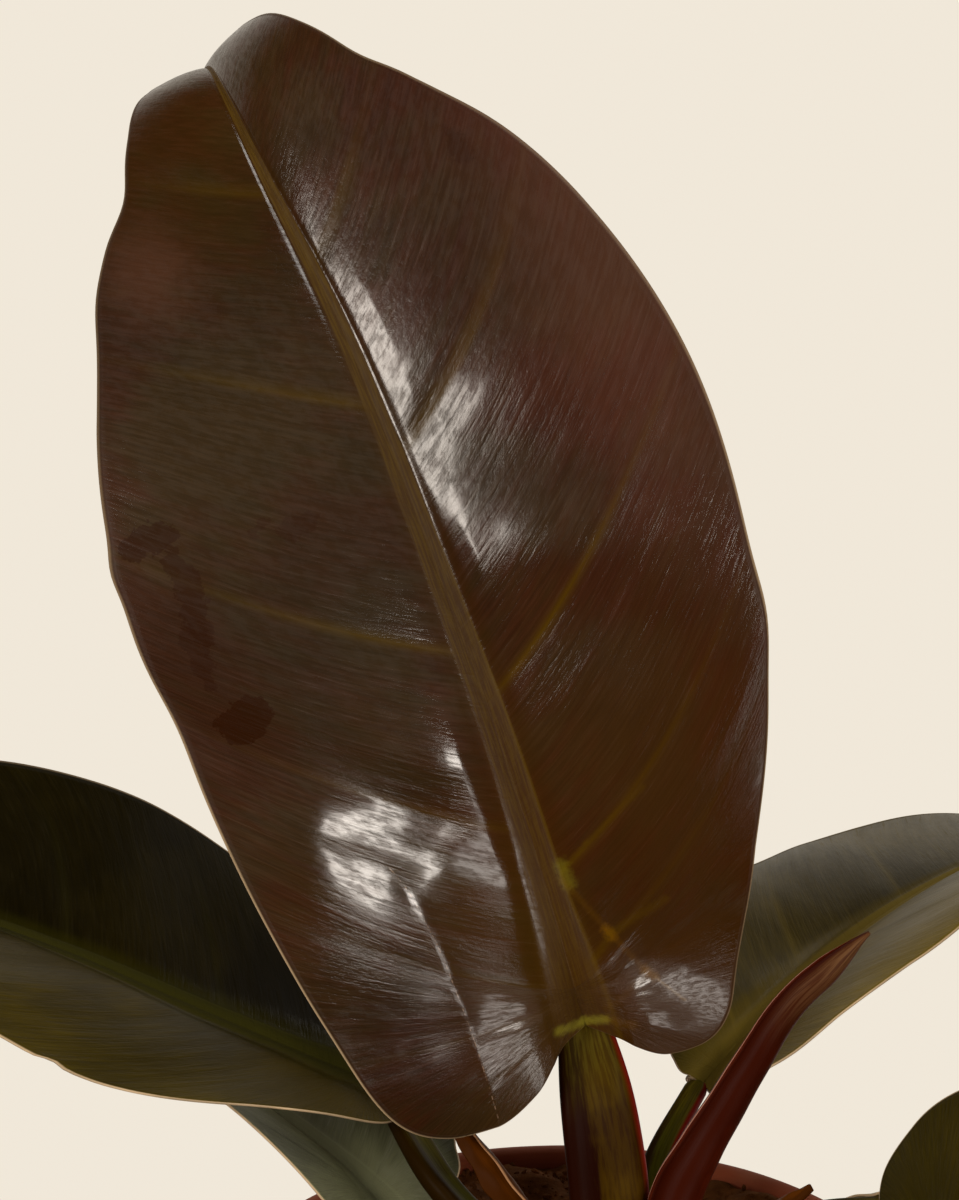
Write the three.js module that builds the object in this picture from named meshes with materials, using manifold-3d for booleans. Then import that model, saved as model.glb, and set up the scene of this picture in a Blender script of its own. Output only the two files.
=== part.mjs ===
// Imperial red philodendron in a plain clay pot, as separate closed solids.
// Millimetres, +Z up. The origin is the centre of the pot's underside, and the front looks along -Y.
import * as THREE from "three";
import { mergeVertices } from "three/addons/utils/BufferGeometryUtils.js";
import Module from "manifold-3d";

const wasm = await Module();
wasm.setup();

// Pot: a tapering body under a taller, slightly flared collar.
const POT_HEIGHT = 125;
const RIM_RADIUS = 70;
const RIM_WALL = 6;
const RIM_ROUND = 2.4;
const COLLAR_HEIGHT = 28;
const COLLAR_FLARE = 1.5;
const COLLAR_STEP = 4;
const COLLAR_ROUND = 1.6;
const FOOT_RADIUS = 46;
const FOOT_ROUND = 1.5;
const WALL = 5.5;
const FLOOR = 8;
const FLOOR_ROUND = 2.2;
const POT_SIDES = 40;
const DRAIN = { radius: 5, circle: 26, count: 4, sides: 12 };

const COLLAR_FOOT = POT_HEIGHT - COLLAR_HEIGHT;
const COLLAR_RADIUS = RIM_RADIUS - COLLAR_FLARE;
const BODY_TOP = COLLAR_RADIUS - COLLAR_STEP;

// The pot's inner wall from its floor to its rim: [radius, height].
const INNER_WALL = [
  [FOOT_RADIUS - WALL - FLOOR_ROUND, FLOOR],
  [FOOT_RADIUS - WALL, FLOOR + FLOOR_ROUND],
  [BODY_TOP - WALL, COLLAR_FOOT - WALL],
  [RIM_RADIUS - RIM_WALL, POT_HEIGHT - RIM_ROUND],
];

// Soil: its surface is two crossed waves, with a round dip at the crown and a rounded edge.
const SOIL_TOP = 121;
const SOIL_EDGE = 2;
const SOIL_RINGS = 6;
const SOIL_WAVES = [
  { x: 0.31, y: 0.27, start: 1.7, height: 0.9 },
  { x: 0.16, y: -0.43, start: 0, height: 0.6 },
];
const CROWN_DIP = { depth: 1.5, radius: 30 };

// Crown, where every leaf stalk clasps the stem, and the stem's outline: [radius, height].
const CROWN = new THREE.Vector2(12, -5);
const STEM_SIDES = 16;
const STEM = [
  [9, 92], [10, 100], [11, 112], [11, 125], [9, 129], [5, 131],
];

// Clearance between neighbouring pieces.
const GAP = 0.3;

// Thickness of a leaf blade, of its margin and of a papery sheath.
const BLADE = 0.9;
const MARGIN = 0.7;
const SHEATH = 0.9;

// Rows along a blade and columns on each half of it, where a leaf names none of its own.
const BLADE_ROWS = 16;
const BLADE_COLUMNS = 4;

// Waves along each side of a blade, and how far the right side's are shifted, in waves.
const MARGIN_WAVES = 3;
const MARGIN_SHIFT = 0.37;

// How a side vein leaves the midrib: its forward lean and its bow toward the tip,
// and how the first veins fan out of the stalk's end.
const VEIN_LEAN = 0.8;
const VEIN_BOW = 0.35;
const VEIN_SOFTNESS = 4;
const VEIN_SPREAD = 12;

// Depth of a leaf's rib against its half width, the share of the midrib it runs along,
// and how far a stalk's inner face is flattened.
const RIB_DEPTH = 1.25;
const RIB_REACH = 0.9;
const STALK_FLATNESS = 0.8;

const UP = new THREE.Vector3(0, 0, 1);
const point = (xyz) => new THREE.Vector3(...xyz);
const radians = THREE.MathUtils.degToRad;

// A value given at even steps from base to tip, read at share s of the way.
function mix(values, s) {
  const place = THREE.MathUtils.clamp(s, 0, 1) * (values.length - 1);
  const i = Math.min(Math.floor(place), values.length - 2);
  return values[i] + (values[i + 1] - values[i]) * (place - i);
}

// A smooth curve through hand-chosen points, with directions along, across and out of its face.
class Spine {
  constructor(points, acrossBase, acrossTip, samples = 160) {
    const curve = new THREE.CatmullRomCurve3(points.map(point), false, "catmullrom", 0.5);
    this.places = curve.getPoints(samples);
    this.along = this.places.map((_, i) => curve.getTangent(i / samples));
    this.distance = [0];
    for (let i = 1; i <= samples; i++) {
      const step = this.places[i].distanceTo(this.places[i - 1]);
      this.distance.push(this.distance[i - 1] + step);
    }
    this.length = this.distance[samples];
    this.acrossBase = point(acrossBase);
    this.acrossTip = point(acrossTip);
  }

  // The frame at a distance from the base. Past either end it runs on straight.
  at(distance) {
    const inside = THREE.MathUtils.clamp(distance, 0, this.length);
    const last = this.distance.length - 2;
    const next = this.distance.findIndex((d) => d > inside);
    const i = next < 0 ? last : Math.max(next - 1, 0);
    const share = (inside - this.distance[i]) / (this.distance[i + 1] - this.distance[i]);
    const along = this.along[i].clone().lerp(this.along[i + 1], share).normalize();
    const centre = this.places[i].clone().lerp(this.places[i + 1], share);
    centre.addScaledVector(along, distance - inside);
    const across = this.acrossBase.clone().lerp(this.acrossTip, inside / this.length);
    across.addScaledVector(along, -across.dot(along)).normalize();
    const face = across.clone().cross(along);
    return { centre, along, across, face };
  }
}

// Closed body through rings of points, each ring listed anticlockwise as seen from the far end.
function loft(rings) {
  const sides = rings[0].length;
  const corners = rings.flat();
  const faces = [];
  const quad = (a, b, c, d) => faces.push(a, b, c, a, c, d);
  for (let i = 0; i + 1 < rings.length; i++) {
    for (let j = 0; j < sides; j++) {
      const k = (j + 1) % sides;
      quad(i * sides + j, i * sides + k, (i + 1) * sides + k, (i + 1) * sides + j);
    }
  }
  const cap = (ring, turned) => {
    const middle = corners.length;
    const sum = rings[ring].reduce((total, p) => total.add(p), new THREE.Vector3());
    corners.push(sum.divideScalar(sides));
    for (let j = 0; j < sides; j++) {
      const edge = [ring * sides + j, ring * sides + ((j + 1) % sides)];
      faces.push(middle, ...(turned ? edge.reverse() : edge));
    }
  };
  cap(0, true);
  cap(rings.length - 1, false);
  return indexed(corners, faces);
}

// A mesh of points and triangles, three indices to a face.
function indexed(corners, faces) {
  const geometry = new THREE.BufferGeometry().setFromPoints(corners);
  geometry.setIndex(faces);
  return geometry;
}

function toSolid(geometry) {
  geometry.deleteAttribute("normal");
  geometry.deleteAttribute("uv");
  const merged = mergeVertices(geometry);
  return new wasm.Manifold(
    new wasm.Mesh({
      numProp: 3,
      vertProperties: merged.attributes.position.array,
      triVerts: new Uint32Array(merged.index.array),
    }),
  );
}

function toGeometry(solid) {
  const { vertProperties, triVerts } = solid.getMesh();
  const geometry = new THREE.BufferGeometry();
  geometry.setAttribute("position", new THREE.BufferAttribute(vertProperties, 3));
  geometry.setIndex(new THREE.BufferAttribute(triVerts, 1));
  return geometry;
}

// What is left of a solid once its neighbours, each grown by the gap, are cut out of it.
function clearOf(solid, grownNeighbours) {
  const rest = grownNeighbours.reduce((left, other) => left.subtract(other), solid);
  const bodies = rest.decompose();
  return bodies.reduce((a, b) => (b.volume() > a.volume() ? b : a));
}

// Solid turned about a vertical axis through the origin, from [radius, height] pairs.
function turned(profile, sides) {
  const outline = profile.map(([radius, z]) => new THREE.Vector2(radius, z));
  return new THREE.LatheGeometry(outline, sides).rotateX(Math.PI / 2);
}

// Clay pot with a collar and drain holes.
function potSolid() {
  const profile = [
    [0, 0],
    [FOOT_RADIUS - FOOT_ROUND, 0],
    [FOOT_RADIUS, FOOT_ROUND],
    [BODY_TOP, COLLAR_FOOT],
    [COLLAR_RADIUS - COLLAR_ROUND, COLLAR_FOOT],
    [COLLAR_RADIUS, COLLAR_FOOT + COLLAR_ROUND],
    [RIM_RADIUS, POT_HEIGHT - RIM_ROUND],
    [RIM_RADIUS - RIM_ROUND / 3, POT_HEIGHT - RIM_ROUND / 3],
    [RIM_RADIUS - RIM_ROUND, POT_HEIGHT],
    [RIM_RADIUS - RIM_WALL + RIM_ROUND / 2, POT_HEIGHT],
    ...INNER_WALL.toReversed(),
    [0, FLOOR],
  ];
  let pot = toSolid(turned(profile, POT_SIDES));
  for (let i = 0; i < DRAIN.count; i++) {
    const angle = (i + 0.5) * ((2 * Math.PI) / DRAIN.count);
    const drain = new THREE.CylinderGeometry(DRAIN.radius, DRAIN.radius, 4 * FLOOR, DRAIN.sides);
    drain.rotateX(Math.PI / 2);
    drain.translate(DRAIN.circle * Math.cos(angle), DRAIN.circle * Math.sin(angle), 0);
    pot = pot.subtract(toSolid(drain));
  }
  return pot;
}

// Inner radius of the pot at a height.
function potInside(z) {
  const above = INNER_WALL.findIndex(([, height]) => height > z);
  const [[lowRadius, low], [highRadius, high]] = INNER_WALL.slice(above - 1, above + 1);
  return lowRadius + ((highRadius - lowRadius) * (z - low)) / (high - low);
}

function soilHeight(x, y) {
  const fromCrown = Math.hypot(x - CROWN.x, y - CROWN.y) / CROWN_DIP.radius;
  const dip = CROWN_DIP.depth * Math.max(0, 1 - fromCrown ** 2);
  const waves = SOIL_WAVES.reduce(
    (sum, wave) => sum + wave.height * Math.sin(x * wave.x + y * wave.y + wave.start),
    0,
  );
  return SOIL_TOP + waves * Math.min(1, fromCrown) - dip;
}

// Soil that fills the pot, a gap inside its wall, with a plain hole for the stem.
function soilSolid() {
  const ring = (radius, height) => {
    const corners = [];
    for (let j = 0; j < POT_SIDES; j++) {
      const angle = (j / POT_SIDES) * 2 * Math.PI;
      const x = radius * Math.cos(angle);
      const y = radius * Math.sin(angle);
      corners.push(new THREE.Vector3(x, y, height(x, y)));
    }
    return corners;
  };
  const floor = FLOOR + GAP;
  const wallHeights = [FLOOR + FLOOR_ROUND, COLLAR_FOOT - WALL, SOIL_TOP - SOIL_EDGE];
  const rings = [
    ring(potInside(floor) - 2 * GAP, () => floor),
    ...wallHeights.map((z) => ring(potInside(z) - GAP, () => z)),
  ];
  const edge = potInside(SOIL_TOP - SOIL_EDGE) - SOIL_EDGE;
  for (let i = 0; i < SOIL_RINGS; i++) {
    rings.push(ring(edge * (1 - i / SOIL_RINGS), soilHeight));
  }
  return toSolid(loft(rings)).subtract(stemSolid(GAP));
}

// Short stem, standing in the soil.
function stemSolid(grow) {
  const foot = STEM[0][1] - grow;
  const top = STEM.at(-1)[1] + grow;
  const side = STEM.map(([radius, z]) => [radius + grow, THREE.MathUtils.clamp(z, foot, top)]);
  side[0][1] = foot;
  side.at(-1)[1] = top;
  const stem = turned([[0, foot], ...side, [0, top]], STEM_SIDES);
  return toSolid(stem.translate(CROWN.x, CROWN.y, 0));
}

// One half of a leaf's outline: [share of the half width, share of the midrib's length].
// It runs from the stalk, round the lobe at the base, up the side and to the tip.
const OUTLINE = [
  [0, 0], [0.1, -0.012], [0.23, -0.036], [0.38, -0.046], [0.52, -0.03],
  [0.64, 0.025], [0.78, 0.11], [0.91, 0.22], [0.985, 0.34], [1, 0.46],
  [0.94, 0.58], [0.79, 0.7], [0.56, 0.81], [0.27, 0.915], [0, 1],
];

// The large leaf's own halves differ a little.
const MAIN_RIGHT = [
  [0, 0], [0.1, -0.014], [0.23, -0.04], [0.36, -0.046], [0.47, -0.022],
  [0.55, 0.03], [0.69, 0.115], [0.875, 0.235], [0.98, 0.36], [1, 0.48],
  [0.925, 0.6], [0.76, 0.72], [0.51, 0.83], [0.23, 0.925], [0, 1],
];
const MAIN_LEFT = [
  [0, 0], [0.1, -0.006], [0.22, -0.033], [0.375, -0.054], [0.56, -0.05],
  [0.715, -0.01], [0.825, 0.085], [0.92, 0.21], [0.97, 0.34], [0.99, 0.45],
  [0.925, 0.57], [0.77, 0.69], [0.545, 0.8], [0.265, 0.91], [0, 1],
];

// A half that is drawn in at the base, with hardly any lobe.
const SHORT_LOBE = [
  [0, 0], [0.08, -0.006], [0.17, -0.014], [0.27, -0.012], [0.38, 0.005],
  [0.5, 0.045], [0.66, 0.12], [0.83, 0.225], [0.95, 0.34], [1, 0.46],
  [0.94, 0.58], [0.79, 0.7], [0.56, 0.81], [0.27, 0.915], [0, 1],
];

// Every leaf: route of its midrib and stalk, half width, and the fold and curl of each half
// in degrees from base to tip. across points to the leaf's own right, at the base and at the tip.
// rib is its half width at both ends.
const LEAVES = {
  main_leaf: {
    midrib: [
      [3, 8, 178], [-4, 7, 204], [-15, 11, 239], [-31, 24, 280], [-45, 39, 312],
      [-61, 58, 340], [-70, 74, 354.5], [-74, 87, 358.5], [-77, 99, 356],
    ],
    across: [[0.93, 0.095, 0.354], [0.93, 0.095, 0.354]],
    half: 60.5,
    left: MAIN_LEFT,
    right: MAIN_RIGHT,
    foldLeft: [19, 15, 16, 15, 16],
    foldRight: [12, 13, 14, 26, 66],
    curlLeft: [-14, -16, -18, -22, -30],
    curlRight: [-12, -14, -16, -24, -66],
    wave: 0.8,
    rib: [4, 0.8],
    rows: 28,
    columns: 5,
    stalk: [[9, 0, 123], [8.6, 0.6, 133], [7.8, 2, 146], [5.6, 5, 162]],
    stalkWidth: [18, 17.5, 16.5, 14.5, 10],
    stalkDepth: [10, 9.5, 9, 8.5, 7],
  },
  left_leaf: {
    midrib: [
      [-34, 17, 159.5], [-56, 22, 167], [-80, 28, 175.5], [-105, 37, 183],
      [-135, 50, 187], [-165, 60, 187], [-191, 66, 182], [-212, 69, 174],
    ],
    across: [[0.1, 0.99, 0.1], [0.1, 0.95, 0.3]],
    half: 46,
    left: SHORT_LOBE,
    foldLeft: [12, 6, 20, 30, 28],
    foldRight: [26, 15, 16, 22, 20],
    curlLeft: [-8, -14, -14, -10, -10],
    curlRight: [-6, -4, -4, -6, -10],
    wave: 1.2,
    rib: [3.4, 0.7],
    stalk: [[6, -5, 125], [-10, -4, 134], [-24.5, -1, 147]],
    stalkWidth: [12, 11, 9.6, 8.6, 7.5],
    stalkDepth: [7, 7, 7, 6.6, 5.6],
  },
  low_left_leaf: {
    midrib: [
      [-36, 11, 135.5], [-46, 24, 140.5], [-61, 43, 144], [-76, 62, 146.5],
      [-91, 82, 146], [-105, 101, 142], [-116, 118, 135],
    ],
    across: [[0.72, 0.65, 0.25], [0.75, 0.6, 0.2]],
    half: 32,
    foldLeft: [44, 54, 44, 24, 12],
    foldRight: [34, 24, 18, 16, 12],
    curlLeft: [-10, -12, -14, -14, -14],
    curlRight: [-8, -10, -14, -14, -14],
    wave: 1,
    rib: [2.6, 0.6],
    stalk: [[6, -1, 124], [-9, 2, 130], [-24, 6, 133]],
    stalkWidth: [10, 9, 8, 7, 6],
    stalkDepth: [6, 5.6, 5.2, 5, 4.4],
  },
  right_back_leaf: {
    midrib: [
      [29, 43, 150], [39, 54, 157], [52, 68, 164], [68, 83, 171], [84, 98, 175],
      [101, 115, 176], [120, 132, 174], [139, 146, 168], [155, 156, 159],
    ],
    across: [[0.9, -0.25, 0.25], [0.7, -0.69, 0.15]],
    half: 42,
    left: SHORT_LOBE,
    foldLeft: [84, 28, 16, 16, 12],
    foldRight: [34, 25, 21, 22, 18],
    curlLeft: [0, -10, -16, -14, -12],
    curlRight: [-14, -12, -12, -12, -12],
    wave: 1.4,
    rib: [3, 0.7],
    stalk: [[15, 0, 125], [17.5, 13, 129], [18.5, 26, 139.5]],
    stalkWidth: [11, 10, 8.6, 7.6, 6.6],
    stalkDepth: [7, 6.6, 6.2, 5.8, 5],
  },
  low_right_leaf: {
    midrib: [
      [66, 20, 136.5], [88, 26, 135.5], [112, 32, 131],
      [136, 38, 121], [157, 43, 109], [173, 47, 95],
    ],
    across: [[0.25, -0.95, 0.1], [0.22, -0.97, 0]],
    half: 37,
    foldLeft: [-18, -16, -10, -4, 0],
    foldRight: [0, 4, 8, 8, 8],
    curlLeft: [-10, -12, -14, -14, -14],
    curlRight: [-8, -10, -12, -14, -14],
    wave: 1.2,
    rib: [2.6, 0.6],
    stalk: [[17, -2, 124], [33, 6, 131], [50, 14, 134.5]],
    stalkWidth: [10, 9, 7.6, 6.8, 6],
    stalkDepth: [6, 5.6, 5.2, 5, 4.4],
  },
  right_front_leaf: {
    midrib: [
      [64, -21, 142], [85, -30, 151], [108, -41, 155],
      [133, -52, 154], [158, -63, 148], [180, -72, 138],
    ],
    across: [[-0.42, -0.9, 0.1], [-0.4, -0.91, 0.1]],
    half: 42,
    foldLeft: [46, 40, 30, 20, 14],
    foldRight: [16, 16, 16, 14, 12],
    curlLeft: [-8, -10, -14, -14, -14],
    curlRight: [-8, -10, -14, -14, -14],
    wave: 1.2,
    rib: [3, 0.7],
    stalk: [[15, -6, 125], [30, -10, 131], [47, -15, 138]],
    stalkWidth: [11, 10, 8.8, 8, 6.8],
    stalkDepth: [7, 6.4, 6, 5.6, 5],
  },
  front_leaf: {
    midrib: [
      [11, -46, 138], [10, -70, 146], [8, -96, 150],
      [6, -123, 148], [4, -149, 140], [2, -171, 128],
    ],
    across: [[-0.99, 0.05, 0.08], [-0.99, 0.05, -0.05]],
    half: 39,
    foldLeft: [22, 20, 17, 14, 10],
    foldRight: [20, 18, 16, 14, 10],
    curlLeft: [-10, -12, -14, -14, -14],
    curlRight: [-10, -12, -14, -14, -14],
    wave: 1.3,
    rib: [2.8, 0.6],
    stalk: [[12, -9, 124], [12, -22, 128.5], [12, -35, 134]],
    stalkWidth: [10, 9, 8, 7.4, 6.4],
    stalkDepth: [6, 5.8, 5.6, 5.2, 4.6],
  },
  front_left_leaf: {
    midrib: [
      [-24, -30, 135], [-44, -44, 141], [-66, -59, 143.5],
      [-88, -74, 142], [-109, -88, 136], [-126, -99, 126],
    ],
    across: [[-0.55, 0.83, 0.05], [-0.55, 0.83, 0]],
    half: 37,
    foldLeft: [18, 18, 16, 14, 10],
    foldRight: [16, 14, 12, 12, 10],
    curlLeft: [-10, -12, -14, -14, -14],
    curlRight: [-10, -12, -16, -16, -14],
    wave: 1.1,
    rib: [2.6, 0.6],
    stalk: [[8, -8, 124], [-4, -16, 128], [-15, -24, 132]],
    stalkWidth: [10, 9, 8, 7, 6],
    stalkDepth: [6, 5.6, 5.2, 5, 4.4],
  },
  back_leaf: {
    midrib: [
      [2, 35, 174], [-2, 56, 190], [-8, 82, 204],
      [-15, 110, 212], [-22, 138, 213], [-29, 164, 206],
    ],
    across: [[0.97, 0.22, 0.05], [0.97, 0.22, 0.05]],
    half: 40,
    foldLeft: [20, 18, 16, 14, 10],
    foldRight: [20, 18, 16, 14, 10],
    curlLeft: [-10, -12, -14, -14, -14],
    curlRight: [-10, -12, -14, -14, -14],
    wave: 1.2,
    rib: [3, 0.7],
    stalk: [[10, 3, 125], [9, 12, 139], [7, 22, 156]],
    stalkWidth: [11, 10, 9, 8, 7],
    stalkDepth: [7, 6.6, 6.2, 5.8, 5],
  },
};

// New leaf, still rolled. seam is where its outer edge lies, in radians round the roll,
// and lap is how far the edge stands out, as a share of the radius.
const SPEAR = {
  route: [
    [17, -3, 126], [19, -1.5, 136], [21.5, 0.8, 147], [25.3, 1.7, 152.4], [31, 2.7, 163.6],
    [42.3, 4.6, 182.2], [50.2, 4.9, 190.5], [55.8, 5.3, 196], [58.7, 5.8, 198.3],
  ],
  across: [1, 0, -0.3],
  radius: [5.2, 5.4, 5.3, 4.6, 4.1, 3.7, 3.25, 2.8, 0.4],
  seam: -1.9,
  lap: 0.16,
};

// Sheaths at the crown: radius from base to tip, and spread, the angle to each edge in degrees.
const SHEATHS = {
  left_sheath: {
    route: [[4, -9, 124], [-4, -5, 137], [-12.5, 0, 148], [-19, 6, 154], [-25, 11, 161]],
    across: [0.6, -0.7, 0.4],
    radius: [7, 6, 5, 4, 0.8],
    spread: 62,
  },
  right_sheath: {
    route: [[18, -10, 124], [26, -7, 133], [36, -3, 141], [48, 1, 146.5]],
    across: [0.3, 0.9, 0.2],
    radius: [7, 6.5, 5, 1],
    spread: 60,
  },
};

// Points along one half of a leaf's outline, in mm: x off the midrib and y along it.
function edgePoints(outline, leaf, spine, rows) {
  const corners = outline.map(([x, y]) => point([x * leaf.half, y * spine.length, 0]));
  return new THREE.CatmullRomCurve3(corners, false, "catmullrom", 0.5).getPoints(rows);
}

// Points of a blade's upper face. Rows follow the side veins, and columns run from its left
// edge to its right edge.
function bladeGrid(leaf, spine, rows, columns) {
  const left = edgePoints(leaf.left ?? OUTLINE, leaf, spine, rows);
  const right = edgePoints(leaf.right ?? OUTLINE, leaf, spine, rows);
  const grid = [];
  let origin = 0;
  for (let i = 0; i <= rows; i++) {
    const across = (left[i].x + right[i].x) / 2;
    const forward = (left[i].y + right[i].y) / 2 - VEIN_LEAN * across;
    const start = VEIN_SOFTNESS * Math.log1p(Math.exp(forward / VEIN_SOFTNESS));
    if (i) origin = Math.min(Math.max(origin + VEIN_SPREAD / rows, start), spine.length);
    const row = [];
    for (let j = -columns; j <= columns; j++) {
      const side = j < 0 ? -1 : 1;
      const edge = j < 0 ? left[i] : right[i];
      row.push(bladePoint(leaf, spine, edge, origin, i / rows, Math.abs(j) / columns, side));
    }
    grid.push(row);
  }
  return grid;
}

// The point at share v of the way out along the vein that reaches the edge at share u.
function bladePoint(leaf, spine, edge, origin, u, v, side) {
  const x = Math.max(edge.x, 0) * v;
  const y = origin + (edge.y - origin) * ((1 - VEIN_BOW) * v + VEIN_BOW * v * v);
  const s = y / spine.length;
  const fold = mix(side > 0 ? leaf.foldRight : leaf.foldLeft, s);
  const curl = mix(side > 0 ? leaf.curlRight : leaf.curlLeft, s);
  const angle = radians(fold + (curl * v) / 2);
  const turns = MARGIN_WAVES * u + (side > 0 ? MARGIN_SHIFT : 0);
  const wave = leaf.wave * Math.sin(2 * Math.PI * turns) * v * v * Math.sin(Math.PI * u);
  const { centre, across, face } = spine.at(y);
  return centre
    .addScaledVector(across, x * Math.cos(angle) * side)
    .addScaledVector(face, x * Math.sin(angle) + wave);
}

// Closed sheet: the grid as its upper face, the same triangles below it, and a strip round the margin.
function bladeSheet(leaf, spine, grow) {
  const rows = leaf.rows ?? BLADE_ROWS;
  const columns = leaf.columns ?? BLADE_COLUMNS;
  const grid = bladeGrid(leaf, spine, rows, columns);
  const across = 2 * columns + 1;
  const top = [grid[0][0], ...grid.slice(1, rows).flat(), grid[rows][0]];
  const tip = top.length - 1;
  const at = (i, j) => (i === 0 ? 0 : i === rows ? tip : 1 + (i - 1) * across + j);
  const faces = [];
  for (let i = 0; i < rows; i++) {
    for (let j = 0; j < across - 1; j++) {
      const [a, b, c, d] = [at(i, j), at(i, j + 1), at(i + 1, j + 1), at(i + 1, j)];
      if (a !== b) faces.push([a, b, c]);
      if (c !== d) faces.push([a, c, d]);
    }
  }
  const normals = vertexNormals(top, faces);
  const onMargin = (k) => k === 0 || k === tip || (k - 1) % across === 0 || k % across === 0;
  const thickness = (k) => (onMargin(k) ? MARGIN : BLADE);
  const upper = top.map((p, k) => p.clone().addScaledVector(normals[k], grow));
  const lower = top.map((p, k) => p.clone().addScaledVector(normals[k], -thickness(k) - grow));
  const count = top.length;
  const triangles = faces.flatMap(([a, b, c]) => [a, b, c, a + count, c + count, b + count]);
  const rim = [0];
  for (let i = 1; i < rows; i++) rim.push(at(i, across - 1));
  rim.push(tip);
  for (let i = rows - 1; i > 0; i--) rim.push(at(i, 0));
  rim.forEach((a, i) => {
    const b = rim[(i + 1) % rim.length];
    triangles.push(b, a, a + count, b, a + count, b + count);
  });
  return toSolid(indexed([...upper, ...lower], triangles));
}

function vertexNormals(places, faces) {
  const normals = places.map(() => new THREE.Vector3());
  for (const [a, b, c] of faces) {
    const side = places[b].clone().sub(places[a]);
    const normal = side.cross(places[c].clone().sub(places[a]));
    for (const k of [a, b, c]) normals[k].add(normal);
  }
  return normals.map((n) => n.normalize());
}

// Half-round rib under the midrib, thinner toward the tip.
function ribSolid(leaf, spine, grow) {
  const rings = [];
  const steps = 10;
  const sides = 5;
  for (let i = 0; i <= steps; i++) {
    const s = (i / steps) * RIB_REACH;
    const { centre, across, face } = spine.at(s * spine.length + GAP - grow);
    const radius = leaf.rib[0] + (leaf.rib[1] - leaf.rib[0]) * Math.sqrt(s / RIB_REACH) + grow;
    centre.addScaledVector(face, -BLADE / 2);
    const ring = [];
    for (let j = 0; j <= sides; j++) {
      const angle = Math.PI * (0.5 + j / sides);
      const sideways = radius * Math.sin(angle);
      const down = RIB_DEPTH * radius * Math.cos(angle);
      ring.push(centre.clone().addScaledVector(across, sideways).addScaledVector(face, down));
    }
    rings.push(ring);
  }
  return toSolid(loft(rings));
}

// Leaf stalk: broad and channelled where it clasps the stem, rounder where the blade starts.
function stalkSolid(leaf, spine, grow) {
  const base = spine.at(0);
  const end = base.centre.addScaledVector(base.face, -BLADE - leaf.stalkDepth.at(-1) / 2);
  const route = new Spine([...leaf.stalk, end.toArray()], stalkAcross(leaf), leaf.across[0]);
  const steps = 8;
  const sides = 10;
  const rings = [];
  for (let i = 0; i <= steps; i++) {
    const s = i / steps;
    const stretch = i === 0 ? -grow : i === steps ? grow : 0;
    const { centre, across, face } = route.at(s * route.length + stretch);
    const halfWidth = mix(leaf.stalkWidth, s) / 2 + grow;
    const halfDepth = mix(leaf.stalkDepth, s) / 2 + grow;
    const ring = [];
    for (let j = 0; j < sides; j++) {
      const angle = (j / sides) * 2 * Math.PI;
      const sideways = halfWidth * Math.sin(angle);
      const up = halfDepth * Math.cos(angle) * (Math.cos(angle) > 0 ? STALK_FLATNESS : 1);
      ring.push(centre.clone().addScaledVector(across, sideways).addScaledVector(face, up));
    }
    rings.push(ring);
  }
  return toSolid(loft(rings));
}

// At the stem a stalk's width lies along the stem's girth.
function stalkAcross(leaf) {
  const [first, second] = leaf.stalk.map(point);
  const outward = second.sub(first).setZ(0).normalize();
  const across = UP.clone().cross(outward);
  return across.dot(point(leaf.across[0])) < 0 ? across.negate().toArray() : across.toArray();
}

// New leaf, still rolled: its outer edge laps over the roll as a step along one side.
function spearSolid(grow) {
  const route = new Spine(SPEAR.route, SPEAR.across, SPEAR.across);
  const steps = 14;
  const sides = 10;
  const rings = [];
  for (let i = 0; i <= steps; i++) {
    const s = i / steps;
    const { centre, across, face } = route.at(s * route.length);
    const ring = [];
    for (let j = 0; j < sides; j++) {
      const turn = j / (sides - 1);
      const angle = SPEAR.seam + turn * 2 * Math.PI;
      const radius = mix(SPEAR.radius, s) * (1 - SPEAR.lap * (1 - turn)) + grow;
      const sideways = radius * Math.sin(angle);
      const up = radius * Math.cos(angle);
      ring.push(centre.clone().addScaledVector(across, sideways).addScaledVector(face, up));
    }
    rings.push(ring);
  }
  return toSolid(loft(rings));
}

// Papery sheath that once wrapped a young leaf: a channel that narrows to its tip.
function sheathSolid(sheath, grow) {
  const route = new Spine(sheath.route, sheath.across, sheath.across);
  const steps = 7;
  const sides = 4;
  const rings = [];
  for (let i = 0; i <= steps; i++) {
    const s = i / steps;
    const { centre, across, face } = route.at(s * route.length);
    const radius = mix(sheath.radius, s);
    const arc = (depth) => {
      const places = [];
      for (let j = 0; j <= sides; j++) {
        const angle = radians(sheath.spread) * (1 - (2 * j) / sides);
        const sideways = radius * Math.sin(angle);
        const up = radius * (1 - Math.cos(angle)) + depth;
        places.push(centre.clone().addScaledVector(across, sideways).addScaledVector(face, up));
      }
      return places;
    };
    rings.push([...arc(-SHEATH / 2 - grow), ...arc(SHEATH / 2 + grow).reverse()]);
  }
  return toSolid(loft(rings));
}

const CLAY = { color: 0xa8593a, roughness: 0.9 };
const EARTH = { color: 0x2e1a0e, roughness: 1 };
const BARK = { color: 0x4a3a1c, roughness: 0.7 };
const BRONZE = { color: 0x3c281b, roughness: 0.35 };
const DARK_GREEN = { color: 0x2f3420, roughness: 0.4 };
const STALK_RED = { color: 0x4a2a12, roughness: 0.45 };
const SPEAR_RED = { color: 0x4a1512, roughness: 0.4 };
const SHEATH_BROWN = { color: 0x5a2412, roughness: 0.6 };

const plant = new THREE.Group();

function add(name, solid, finish) {
  const mesh = new THREE.Mesh(toGeometry(solid), new THREE.MeshStandardMaterial(finish));
  mesh.name = name;
  plant.add(mesh);
}

add("pot", potSolid(), CLAY);
add("soil", soilSolid(), EARTH);
add("stem", stemSolid(0), BARK);

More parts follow.
